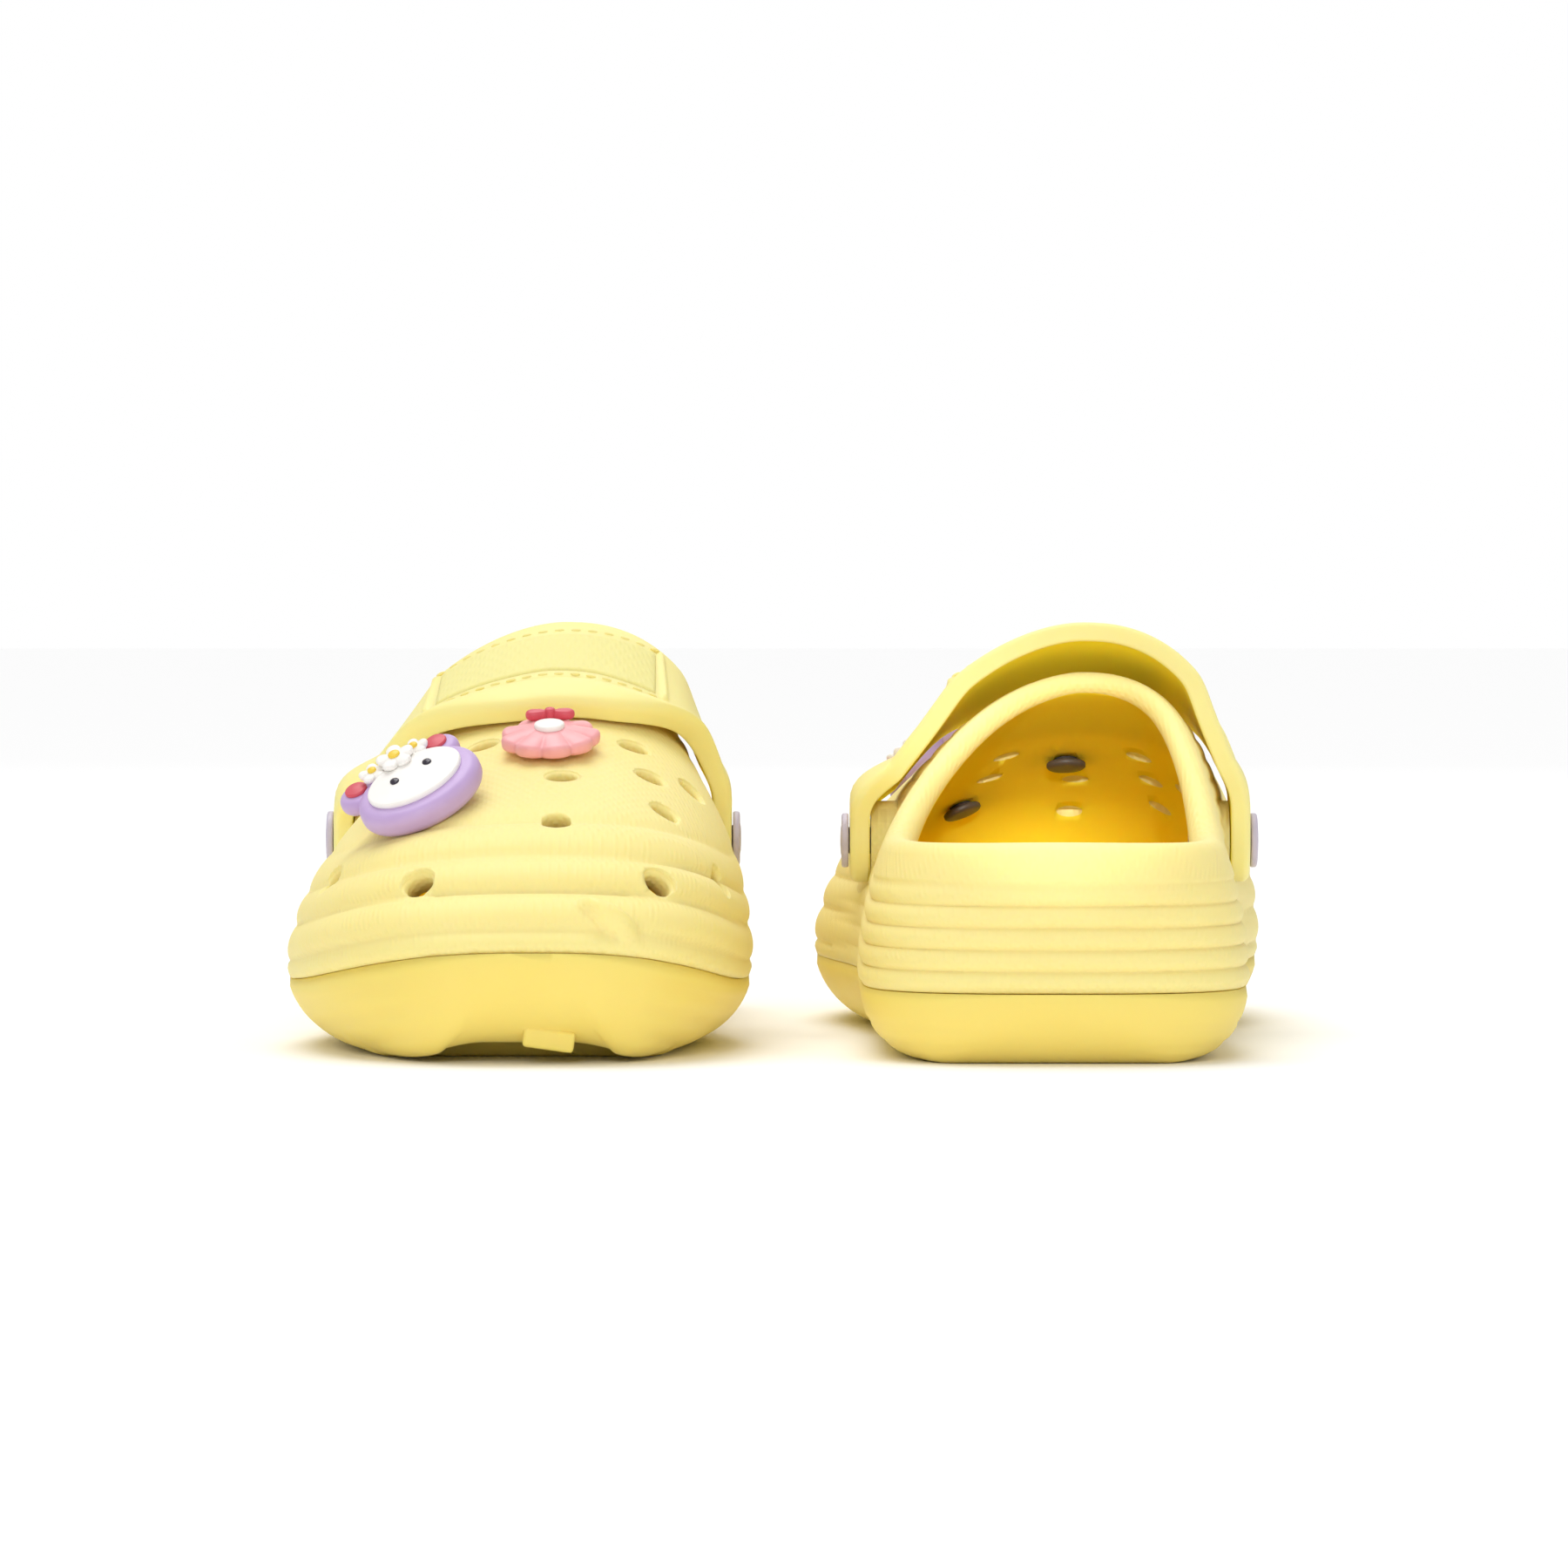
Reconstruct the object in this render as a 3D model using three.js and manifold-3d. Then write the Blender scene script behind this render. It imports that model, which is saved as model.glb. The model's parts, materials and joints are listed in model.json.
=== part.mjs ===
// A pair of moulded foam garden clogs: each has an upper, a sole, a footbed, a strap that turns
// on two snap rivets, and two push-in charms. Millimetres, +Z up, the pair centred on the origin.
// The right clog points its toe to -Y and the left clog, its mirror image, points it to +Y.

import * as THREE from 'three';
import { mergeVertices } from 'three/addons/utils/BufferGeometryUtils.js';
import { LoftGeometry } from 'three/addons/geometries/LoftGeometry.js';
import Module from 'manifold-3d';

const wasm = await Module();
wasm.setup();

// ---- driving dimensions ----

const clogLength = 248;
const pairSpacing = 118;
const foreHalfWidth = 52;
const heelHalfWidth = 42.5;
const waistStart = 75;
const waistRun = 75;
const toeRoundLength = 95;
const toeRoundPower = 2.6;
const heelRoundLength = 45;
const heelRoundPower = 3;
const toeShift = 5;
const seamHeelHeight = 15.5;
const seamToeRise = 8.9;
const seamRun = 70;

// vamp and heel, measured from the ground and from the toe tip
const toeCapHeight = 52;
const toeCapStation = 28;
const toeCapRun = 40;
const rimHeight = 82;
const rimStation = 128;
const ridgeShift = 9;
const heelRimHeight = 45;
const heelDomeHeight = 76.5;
const heelDomeRun = 40;
const rimFallRun = 62;
const rimFallPower = 1.6;
const rimFallMost = 3;
const toeDomePower = 2.2;
const toeDomeShape = 0.6;
const outerArch = { toe: 2.2, rim: 1.8 };
const innerArch = { toe: 2.3, rim: 2.5 };
const heelArch = 2;
const openingCentreX = 2;
const openingCentreShare = 0.48;
const vampWall = 5;
const heelWall = 7.5;

// sole, footbed and gaps
const seamGap = 0.3;
const soleFlatShare = 0.68;
const toeSpring = 4.5;
const springRun = 42;
const heelUnderRun = 12;
const footbedThickness = 3.5;
const footbedClearance = 1.2;
const footbedDish = 1.2;
const footbedEdgeRound = 0.6;
const soleWallPower = 0.8;

// vent holes: [distance to the big-toe side, distance from the toe tip]
const ventRadius = 3.1;
const vents = [
  [-20, 17], [32, 19], [9.5, 30.5], [45, 45], [-40.5, 48.5], [33, 49.5], [10, 56.5],
  [29.5, 67], [-12, 68], [38.5, 76.5], [25.5, 83], [-8.5, 85],
];
const bearVent = [-19, 51];
const shellVent = [7, 74];

// strap and its rivets
const strapThickness = 4.5;
const strapFrontLift = 0.8;
const strapRearLift = 7.5;
const strapFrontStation = 93;
const strapRearStation = 130;
const rivetStation = 130;
const rivetHeight = 44;
const bossRadius = 9.5;
const bossClearance = 2.5;
const strapGap = 0.3;
const outerSeatLift = 1.8;
const innerSeatLift = -0.2;
const strapBlendRun = 16;
const strapSideLift = 1;
const strapWidening = 1.15;
const rivetShaftRadius = 3;
const rivetClearance = 0.3;
const rivetHeadRadius = 6.2;
const rivetHeadThickness = 1.6;
const rivetWall = 6;
const rivetShaftTail = 1.2;
const socketDepth = 2.6;
const socketFloor = 1.3;
const socketClearance = 0.8;
const padRadius = 9;
const labelThickness = 0.8;
const labelHalfAngle = 0.42;
const labelFrontShare = 0.22;
const labelRearShare = 0.86;

// charms
const plugShaftRadius = 2.5;
const plugFlangeRadius = 4.6;
const plugFlangeThickness = 1.4;
const charmGap = 0.3;
const bearRadius = 14.5;
const bearThickness = 6;
const bearStandOff = 2.2;
const bearTilt = 0.35;
const shellRadius = 11;
const shellThickness = 4.5;
const shellStandOff = 1.2;
const charmSlack = 0.6;
const earRadius = 4.6;
const earShare = { x: 0.72, y: 0.78 };
const earThickness = 4;
const earLift = 0.4;
const earPadThickness = 0.8;
const faceThickness = 1;
const eyeRadius = 1;
const eyeSpread = 4.2;
const flowerRadius = 4;
const flowerThickness = 1.6;
const flowerEyeRadius = 1.3;
const shellCentreRadius = 3.4;
const bowHalfWidth = 5.2;
const bowHalfHeight = 2.2;
const bowPlace = 6.4;

// ---- small maths ----

const clamp = (t) => Math.min(1, Math.max(0, t));
const mix = (a, b, t) => a + (b - a) * t;
const ease = (t) => {
  const c = clamp(t);
  return c * c * (3 - 2 * c);
};
const arc = (t, power) => (1 - clamp(t) ** power) ** (1 / power);

// stations are crowded towards both ends, where the outline turns fastest
const station = (t, from, to) => mix(from, to, (1 - Math.cos(Math.PI * t)) / 2);
const toY = (s) => s - clogLength / 2;

// ---- outline, seam and dome of one clog ----

function halfWidth(s) {
  const body = mix(foreHalfWidth, heelHalfWidth, ease((s - waistStart) / waistRun));
  const toe = arc(1 - s / toeRoundLength, toeRoundPower);
  const heel = arc(1 - (clogLength - s) / heelRoundLength, heelRoundPower);
  return body * toe * heel;
}

const centreX = (s) => toeShift * (1 - clamp(s / waistStart)) ** 2;
const edgeX = (s, side) => centreX(s) + side * halfWidth(s);
const seamZ = (s) => seamHeelHeight + seamToeRise * (1 - clamp(s / seamRun)) ** 2;

function ridgeX(s) {
  const rise = mix(toeShift, ridgeShift, ease(s / toeCapRun));
  return rise * (1 - ease((s - rimStation) / waistRun));
}

function domeTop(s) {
  const slope = (rimHeight - toeCapHeight) / (rimStation - toeCapStation);
  const ramp = toeCapHeight + slope * (Math.min(s, rimStation) - toeCapStation);
  const crown = mix(ramp, heelDomeHeight, ease((s - rimStation) / waistRun));
  const toe = (1 - (1 - clamp(s / toeCapRun)) ** toeDomePower) ** toeDomeShape;
  const heel = arc(1 - (clogLength - s) / heelDomeRun, 2);
  return mix(seamZ(s), crown, toe * heel);
}

// the outside runs as a soft arch on the little-toe side and a boxier one on the big-toe side
function archPower(s, side) {
  const forward = clamp(s / rimStation);
  const back = ease((s - rimStation) / waistRun);
  const arch = side < 0 ? outerArch : innerArch;
  return mix(mix(arch.toe, arch.rim, forward), heelArch, back);
}

function domeZ(s, x) {
  const ridge = ridgeX(s);
  const side = x < ridge ? -1 : 1;
  const reach = Math.abs(edgeX(s, side) - ridge);
  if (reach < 1e-6) return seamZ(s);
  return mix(seamZ(s), domeTop(s), arc(Math.abs(x - ridge) / reach, archPower(s, side)));
}

function rimZ(s) {
  const fall = rimFallMost * clamp((rimStation + rimFallRun - s) / (rimFallRun * rimFallMost));
  return heelRimHeight + (rimHeight - heelRimHeight) * fall ** rimFallPower;
}

// x of the dome's outside at a station and a height
function domeX(s, side, z) {
  const climb = (z - seamZ(s)) / (domeTop(s) - seamZ(s));
  const reach = Math.abs(edgeX(s, side) - ridgeX(s));
  return ridgeX(s) + side * reach * arc(climb, archPower(s, side));
}

// distance from the clog's centre to the flat under one end of the strap
function seatPlane(side) {
  const lift = side < 0 ? outerSeatLift : innerSeatLift;
  return side * domeX(rivetStation, side, rivetHeight) + lift;
}

const wallAt = (s) => mix(vampWall, heelWall, ease((s - rimStation) / waistRun));

// ---- meshes, solids and placing ----

function toSolid(geometry) {
  const bare = new THREE.BufferGeometry();
  bare.setAttribute('position', geometry.getAttribute('position'));
  bare.setIndex(geometry.getIndex());
  const merged = mergeVertices(bare, 1e-4);
  const source = merged.getIndex().array;
  const triangles = [];
  for (let i = 0; i < source.length; i += 3) {
    const [a, b, c] = [source[i], source[i + 1], source[i + 2]];
    if (a !== b && b !== c && c !== a) triangles.push(a, b, c);
  }
  const solidOf = (corners) => new wasm.Manifold(new wasm.Mesh({
    numProp: 3,
    vertProperties: new Float32Array(merged.getAttribute('position').array),
    triVerts: new Uint32Array(corners),
  }));
  const solid = solidOf(triangles);
  return solid.volume() > 0 ? solid : solidOf(triangles.reverse());
}

// a closed loft, its sections turned to face outwards
function loft(sections, capped) {
  const [first, second] = sections;
  const normal = new THREE.Vector3();
  const travel = new THREE.Vector3();
  first.forEach((point, i) => {
    const next = first[(i + 1) % first.length];
    normal.add(point.clone().cross(next));
    travel.add(second[i]).sub(point);
  });
  const ordered = normal.dot(travel) > 0 ? sections : sections.map((ring) => [...ring].reverse());
  return toSolid(new LoftGeometry(ordered, { capStart: capped, capEnd: capped }));
}

function toGeometry(solid) {
  const mesh = solid.getMesh();
  const geometry = new THREE.BufferGeometry();
  geometry.setAttribute('position', new THREE.BufferAttribute(mesh.vertProperties, 3));
  geometry.setIndex(new THREE.BufferAttribute(mesh.triVerts, 1));
  geometry.computeVertexNormals();
  return geometry;
}

const tidy = (geometry) => toGeometry(toSolid(geometry));

// a cylinder along a rivet's axis between two planes
function cylinderX(radius, x0, x1) {
  const geometry = new THREE.CylinderGeometry(radius, radius, Math.abs(x1 - x0), 16);
  geometry.rotateZ(Math.PI / 2);
  geometry.translate((x0 + x1) / 2, toY(rivetStation), rivetHeight);
  return geometry;
}

// outward direction of the vamp's surface at a vent
function surfaceNormal(s, x) {
  const step = 0.5;
  const slopeX = (domeZ(s, x + step) - domeZ(s, x - step)) / (2 * step);
  const slopeY = (domeZ(s + step, x) - domeZ(s - step, x)) / (2 * step);
  return new THREE.Vector3(-slopeX, -slopeY, 1).normalize();
}

function surfaceFrame([x, s]) {
  const frame = new THREE.Object3D();
  frame.position.set(x, toY(s), domeZ(s, x));
  frame.quaternion.setFromUnitVectors(new THREE.Vector3(0, 0, 1), surfaceNormal(s, x));
  frame.updateMatrix();
  return frame;
}

// ---- the upper: one closed wall profile swept round the foot opening ----

const openingCentre = new THREE.Vector2(
  openingCentreX,
  mix(rimStation, clogLength, openingCentreShare),
);

function outlinePoints(count) {
  const fine = [];
  const half = 300;
  for (let i = 0; i < half; i++) {
    const s = station(i / half, 0, clogLength);
    fine.push(new THREE.Vector2(edgeX(s, -1), s));
  }
  for (let i = half; i > 0; i--) {
    const s = station(i / half, 0, clogLength);
    fine.push(new THREE.Vector2(edgeX(s, 1), s));
  }
  fine.push(fine[0]);
  return evenly(fine, count);
}

// points spaced evenly along a polyline
function evenly(points, count) {
  const reach = [0];
  for (let i = 1; i < points.length; i++) {
    reach.push(reach[i - 1] + points[i].distanceTo(points[i - 1]));
  }
  const total = reach[reach.length - 1];
  let k = 1;
  return Array.from({ length: count + 1 }, (_, i) => {
    const want = Math.min(total, (total * i) / count);
    while (k < reach.length - 1 && reach[k] < want) k++;
    const span = reach[k] - reach[k - 1] || 1;
    return points[k - 1].clone().lerp(points[k], (want - reach[k - 1]) / span);
  });
}

// one run of the outside from the seam up to the rim, along a line towards the opening
function outsideRun(foot, steps) {
  const along = (q) => foot.clone().lerp(openingCentre, q);
  let low = 0;
  let high = 1;
  for (let i = 0; i < 40; i++) {
    const q = (low + high) / 2;
    const p = along(q);
    if (domeZ(p.y, p.x) < rimZ(p.y)) low = q;
    else high = q;
  }
  const samples = [];
  const fine = 80;
  for (let i = 0; i <= fine; i++) {
    const p = along(low * (i / fine) ** 3);
    samples.push(new THREE.Vector3(p.x, toY(p.y), i === 0 ? seamZ(p.y) : domeZ(p.y, p.x)));
  }
  return evenly(samples, steps);
}

function upperShell() {
  const rings = 44;
  const steps = 6;
  const lipSteps = 2;
  const runs = outlinePoints(rings).slice(0, rings).map((foot) => outsideRun(foot, steps));
  const sections = runs.map((run, i) => {
    const before = runs[(i + rings - 1) % rings];
    const after = runs[(i + 1) % rings];
    const outside = [];
    const inside = [];
    let upward = null;
    run.forEach((point, j) => {
      const round = after[j].clone().sub(before[j]);
      upward = run[Math.min(j + 1, steps)].clone().sub(run[Math.max(j - 1, 0)]).normalize();
      const out = upward.clone().cross(round).normalize();
      const inner = point.clone().addScaledVector(out, -wallAt(point.y + clogLength / 2));
      if (j === 0) {
        point.z += seamGap / 2;
        inner.z = seamZ(inner.y + clogLength / 2) + seamGap / 2;
      }
      outside.push(point);
      inside.push(inner);
    });
    const lip = [];
    const middle = outside[steps].clone().lerp(inside[steps], 0.5);
    const spoke = outside[steps].clone().sub(middle);
    for (let k = 1; k <= lipSteps; k++) {
      const angle = (Math.PI * k) / (lipSteps + 1);
      const rise = Math.sin(angle) * spoke.length();
      lip.push(middle.clone().addScaledVector(spoke, Math.cos(angle)).addScaledVector(upward, rise));
    }
    return [...outside, ...lip, ...inside.reverse()];
  });
  sections.push(sections[0]);
  return loft(sections, false);
}

function ventCutter([x, s], radius) {
  const cutter = new THREE.CylinderGeometry(radius, radius, 4 * vampWall, 8);
  cutter.rotateX(Math.PI / 2);
  cutter.applyMatrix4(surfaceFrame([x, s]).matrix);
  return toSolid(cutter);
}

// flat bearing for the strap's end, with a hole for the rivet and a flat seat inside
function rivetSeat(upper, side, plane) {
  const far = foreHalfWidth + heelWall;
  const seat = side * plane;
  const inner = side * (plane - rivetWall);
  const cut = (radius, x0, x1) => toSolid(cylinderX(radius, x0, x1));
  const bored = upper
    .add(cut(padRadius, inner, seat))
    .subtract(cut(bossRadius + bossClearance, seat, side * far))
    .subtract(cut(rivetHeadRadius + socketClearance, inner, inner - side * 2 * heelWall));
  return bored.subtract(cut(rivetShaftRadius + rivetClearance, inner - side * heelWall, side * far));
}

function upper() {
  let body = upperShell();
  for (const vent of vents) body = body.subtract(ventCutter(vent, ventRadius));
  for (const vent of [bearVent, shellVent]) {
    body = body.subtract(ventCutter(vent, plugShaftRadius + charmGap));
  }
  body = rivetSeat(body, -1, seatPlane(-1));
  return rivetSeat(body, 1, seatPlane(1));
}

// ---- the sole and the footbed: lofts from toe to heel ----

function soleBottom(s) {
  const spring = toeSpring * (1 - clamp(s / springRun)) ** 2;
  const heel = arc(1 - (clogLength - s) / heelUnderRun, 2);
  const toe = arc(1 - s / heelUnderRun, 2);
  return mix(seamZ(s) - seamGap / 2, spring, heel * toe);
}

function sole() {
  const rows = 28;
  const corner = 4;
  const sections = [];
  for (let i = 0; i <= rows; i++) {
    const s = station(mix(0.012, 0.988, i / rows), 0, clogLength);
    const top = seamZ(s) - seamGap / 2;
    const bottom = soleBottom(s);
    const wall = (side, k) => {
      const angle = (Math.PI / 2) * (k / corner);
      const flat = soleFlatShare * halfWidth(s);
      const x = flat + (halfWidth(s) - flat) * Math.cos(angle) ** soleWallPower;
      const z = mix(top, bottom, Math.sin(angle) ** soleWallPower);
      return new THREE.Vector3(centreX(s) + side * x, toY(s), z);
    };
    const steps = Array.from({ length: corner + 1 }, (_, k) => k);
    sections.push([...steps.map((k) => wall(-1, k)), ...steps.reverse().map((k) => wall(1, k))]);
  }
  return toGeometry(loft(sections, true));
}

function footbed() {
  const rows = 16;
  const inset = heelWall + footbedClearance;
  const sections = [];
  for (let i = 0; i <= rows; i++) {
    const s = station(mix(0.04, 0.96, i / rows), inset, clogLength - inset);
    const outer = station(mix(0.04, 0.96, i / rows), 0, clogLength);
    const reach = Math.max(1, Math.min(halfWidth(s), halfWidth(outer)) - wallAt(s) - footbedClearance);
    const base = seamZ(s) + seamGap;
    const crossing = [-1, -0.6, 0, 0.6, 1];
    const under = crossing.map((c) => new THREE.Vector3(centreX(s) + c * reach, toY(s), base));
    const over = crossing.map((c) => {
      const dish = footbedDish * (1 - c * c);
      const x = centreX(s) + c * (reach - footbedEdgeRound);
      return new THREE.Vector3(x, toY(s), base + footbedThickness - dish);
    });
    sections.push([...under, ...over.reverse()]);
  }
  return toGeometry(loft(sections, true));
}

// ---- the strap: a band over the instep with a round boss on each rivet ----

// height of the strap's underside on the ridge line, at a station
function strapCrown(s) {
  const t = (s - strapFrontStation) / (strapRearStation - strapFrontStation);
  return domeTop(Math.min(s, rimStation)) + mix(strapFrontLift, strapRearLift, t);
}

// a point of the strap's underside: along runs from -1 at the little-toe rivet to 1 at the
// big-toe one, and across from 0 at the front edge to 1 at the rear edge
function strapUnderside(along, across) {
  const side = along < 0 ? -1 : 1;
  const climb = 1 - Math.abs(along);
  const widen = ease(climb * strapWidening);
  const front = mix(rivetStation - bossRadius, strapFrontStation, widen);
  const rear = mix(rivetStation + bossRadius, strapRearStation, widen);
  const s = mix(front, rear, across);
  const under = Math.min(s, rimStation);
  const base = seamZ(s);
  const crown = strapCrown(s) - base;
  const power = archPower(under, side);
  const first = Math.asin(((rivetHeight - base) / crown) ** (power / 2));
  const angle = mix(first, Math.PI / 2, climb);
  const z = base + crown * Math.sin(angle) ** (2 / power);
  const reach = Math.abs(edgeX(under, side) - ridgeX(under)) + strapSideLift;
  const arched = ridgeX(under) + side * reach * Math.max(0, Math.cos(angle)) ** (2 / power);
  const fromRivet = Math.hypot(s - rivetStation, z - rivetHeight);
  const flat = side * (seatPlane(side) + strapGap);
  const blended = mix(flat, arched, ease((fromRivet - bossRadius) / strapBlendRun));
  if (fromRivet < bossRadius + bossClearance) return new THREE.Vector3(blended, toY(s), z);
  const clear = side * domeX(under, side, z) + strapGap;
  return new THREE.Vector3(side * Math.max(side * blended, clear), toY(s), z);
}

// the same point moved outwards by a height in the strap's thickness
function strapPoint(along, across, out) {
  const step = 0.01;
  const lengthways = strapUnderside(Math.min(1, along + step), across)
    .sub(strapUnderside(Math.max(-1, along - step), across));
  const sideways = strapUnderside(along, Math.min(1, across + step))
    .sub(strapUnderside(along, Math.max(0, across - step)));
  const outward = lengthways.cross(sideways).normalize();
  if (Math.abs(along) === 1) outward.set(Math.sign(along), 0, 0);
  return strapUnderside(along, across).addScaledVector(outward, out);
}

function bossEnd(side, angle, plane, out) {
  const half = bossRadius * Math.sin(angle);
  const z = rivetHeight - bossRadius * Math.cos(angle);
  const x = side * (plane + strapGap + out);
  return [-1, 1].map((edge) => new THREE.Vector3(x, toY(rivetStation + edge * half), z));
}

function strapSection(along) {
  const acrossSteps = [0, 0.33, 0.67, 1];
  const outer = acrossSteps.map((a) => strapPoint(along, a, strapThickness));
  const inner = acrossSteps.map((a) => strapPoint(along, a, 0));
  return [...inner, ...outer.reverse()];
}

function bossSection(side, angle) {
  const plane = seatPlane(side);
  const fill = (ends) => [0, 0.33, 0.67, 1].map((a) => ends[0].clone().lerp(ends[1], a));
  const inner = fill(bossEnd(side, angle, plane, 0));
  const outer = fill(bossEnd(side, angle, plane, strapThickness));
  return [...inner, ...outer.reverse()];
}

function strap() {
  const bossAngles = [0.25, 0.55, 0.85, 1.2];
  const sections = bossAngles.map((angle) => bossSection(-1, angle));
  const steps = 24;
  for (let i = 0; i <= steps; i++) sections.push(strapSection(mix(-1, 1, i / steps)));
  bossAngles.reverse().forEach((angle) => sections.push(bossSection(1, angle)));
  let band = loft(sections, true);
  for (const side of [-1, 1]) {
    const near = side * (seatPlane(side) - strapThickness);
    const far = side * (seatPlane(side) + 3 * strapThickness);
    band = band.subtract(toSolid(cylinderX(rivetShaftRadius + rivetClearance, near, far)));
  }
  return toGeometry(band);
}

function label() {
  const steps = 10;
  const sections = [];
  for (let i = 0; i <= steps; i++) {
    const along = mix(-labelHalfAngle, labelHalfAngle, i / steps);
    const across = [labelFrontShare, 0.43, 0.64, labelRearShare];
    const low = across.map((a) => strapPoint(along, a, strapThickness + strapGap));
    const high = across.map((a) => strapPoint(along, a, strapThickness + strapGap + labelThickness));
    sections.push([...low, ...high.reverse()]);
  }
  return toGeometry(loft(sections, true));
}

// ---- snap rivets ----

function rivetButton(side) {
  const plane = seatPlane(side);
  const under = plane + 2 * strapGap + strapThickness;
  const shaftEnd = plane - rivetWall - rivetShaftTail;
  const profile = [
    new THREE.Vector2(0, shaftEnd),
    new THREE.Vector2(rivetShaftRadius - 0.2, shaftEnd),
    new THREE.Vector2(rivetShaftRadius, shaftEnd + 0.6),
    new THREE.Vector2(rivetShaftRadius, under),
    new THREE.Vector2(rivetHeadRadius, under),
    new THREE.Vector2(rivetHeadRadius - 0.2, under + rivetHeadThickness / 2),
    new THREE.Vector2(rivetHeadRadius - 1.4, under + rivetHeadThickness),
    new THREE.Vector2(0, under + rivetHeadThickness),
  ];
  return alongX(new THREE.LatheGeometry(profile, 16), side);
}

function rivetSocket(side) {
  const outer = seatPlane(side) - rivetWall - strapGap;
  const bore = rivetShaftRadius + rivetClearance;
  const profile = [
    new THREE.Vector2(0, outer - socketDepth),
    new THREE.Vector2(rivetHeadRadius - 1, outer - socketDepth),
    new THREE.Vector2(rivetHeadRadius, outer - 0.7 * socketDepth),
    new THREE.Vector2(rivetHeadRadius, outer),
    new THREE.Vector2(bore, outer),
    new THREE.Vector2(bore, outer - socketFloor),
    new THREE.Vector2(0, outer - socketFloor),
  ];
  return alongX(new THREE.LatheGeometry(profile, 16), side);
}

// turns a lathed rivet piece from Y to the rivet's axis on one side of the clog
function alongX(geometry, side) {
  geometry.rotateZ((-side * Math.PI) / 2);
  geometry.translate(0, toY(rivetStation), rivetHeight);
  return tidy(geometry);
}

// ---- charms, each drawn flat in its own frame with +Z away from the vamp ----

function plug(standOff, wall) {
  const flange = -(wall + charmGap + charmSlack);
  const profile = [
    new THREE.Vector2(0, flange - plugFlangeThickness),
    new THREE.Vector2(plugFlangeRadius, flange - plugFlangeThickness),
    new THREE.Vector2(plugFlangeRadius, flange),
    new THREE.Vector2(plugShaftRadius, flange),
    new THREE.Vector2(plugShaftRadius, standOff - charmGap),
    new THREE.Vector2(0, standOff - charmGap),
  ];
  const geometry = new THREE.LatheGeometry(profile, 10);
  geometry.rotateX(Math.PI / 2);
  return tidy(geometry);
}

function slab(shape, depth, z, bevel = 0, curveSegments = 9) {
  const geometry = new THREE.ExtrudeGeometry(shape, {
    depth: depth - 2 * bevel,
    bevelEnabled: bevel > 0,
    bevelThickness: bevel,
    bevelSize: bevel,
    bevelOffset: -bevel,
    bevelSegments: 1,
    curveSegments,
  });
  geometry.translate(0, 0, z + bevel);
  return tidy(geometry);
}

function ellipse(cx, cy, rx, ry) {
  const shape = new THREE.Shape();
  shape.absellipse(cx, cy, rx, ry, 0, 2 * Math.PI);
  return shape;
}

const ears = [-1, 1].map((side) => ({
  side,
  x: side * bearRadius * earShare.x,
  y: bearRadius * earShare.y,
}));
function bearHead() {
  const wide = bearRadius;
  const tall = bearRadius * 0.84;
  let head = toSolid(slab(ellipse(0, 0, wide, tall), bearThickness, 0, 1.4));
  for (const ear of ears) {
    const outline = ellipse(ear.x, ear.y, earRadius, earRadius);
    head = head.add(toSolid(slab(outline, earThickness, earLift, 1, 6)));
  }
  return toGeometry(head);
}

function bearFace() {
  const outline = ellipse(0, 0.4, bearRadius * 0.78, bearRadius * 0.6);
  return slab(outline, faceThickness, bearThickness + charmGap, 0.3);
}

const faceTop = bearThickness + charmGap + faceThickness;

function bearEye(side) {
  const outline = ellipse(side * eyeSpread, eyeSpread * 0.3, eyeRadius, eyeRadius * 1.1);
  return slab(outline, 0.6, faceTop + charmGap, 0, 6);
}

function earInner(ear) {
  const z = earLift + earThickness + charmGap;
  return slab(ellipse(ear.x, ear.y + 0.6, earRadius * 0.5, earRadius * 0.5), earPadThickness, z, 0, 6);
}

function flower(radius, petals, depth, z) {
  const shape = new THREE.Shape();
  const steps = petals * 4;
  for (let i = 0; i < steps; i++) {
    const angle = (2 * Math.PI * i) / steps;
    const r = radius * (0.8 + 0.2 * Math.cos(petals * angle));
    const place = i === 0 ? 'moveTo' : 'lineTo';
    shape[place](r * Math.cos(angle), r * Math.sin(angle));
  }
  return slab(shape, depth, z);
}

function shellBody() {
  const shape = new THREE.Shape();
  const lobes = 9;
  const steps = lobes * 4;
  for (let i = 0; i < steps; i++) {
    const angle = (2 * Math.PI * i) / steps;
    const r = shellRadius * (0.94 + 0.06 * Math.cos(lobes * angle));
    const place = i === 0 ? 'moveTo' : 'lineTo';
    shape[place](r * Math.cos(angle), r * Math.sin(angle));
  }
  return slab(shape, shellThickness, 0, 1);
}

function shellCentre() {
  const outline = ellipse(0, -1, shellCentreRadius, shellCentreRadius);
  return slab(outline, 1, shellThickness + charmGap, 0.3, 8);
}

function shellBow() {
  const shape = new THREE.Shape();
  shape.moveTo(0, bowHalfHeight / 2);
  shape.lineTo(bowHalfWidth, bowHalfHeight);
  shape.lineTo(bowHalfWidth, -bowHalfHeight);
  shape.lineTo(0, -bowHalfHeight / 2);
  shape.lineTo(-bowHalfWidth, -bowHalfHeight);
  shape.lineTo(-bowHalfWidth, bowHalfHeight);
  const geometry = slab(shape, 1.6, shellThickness + charmGap);
  geometry.translate(0, bowPlace, 0);
  return geometry;
}

// ---- materials ----

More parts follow.
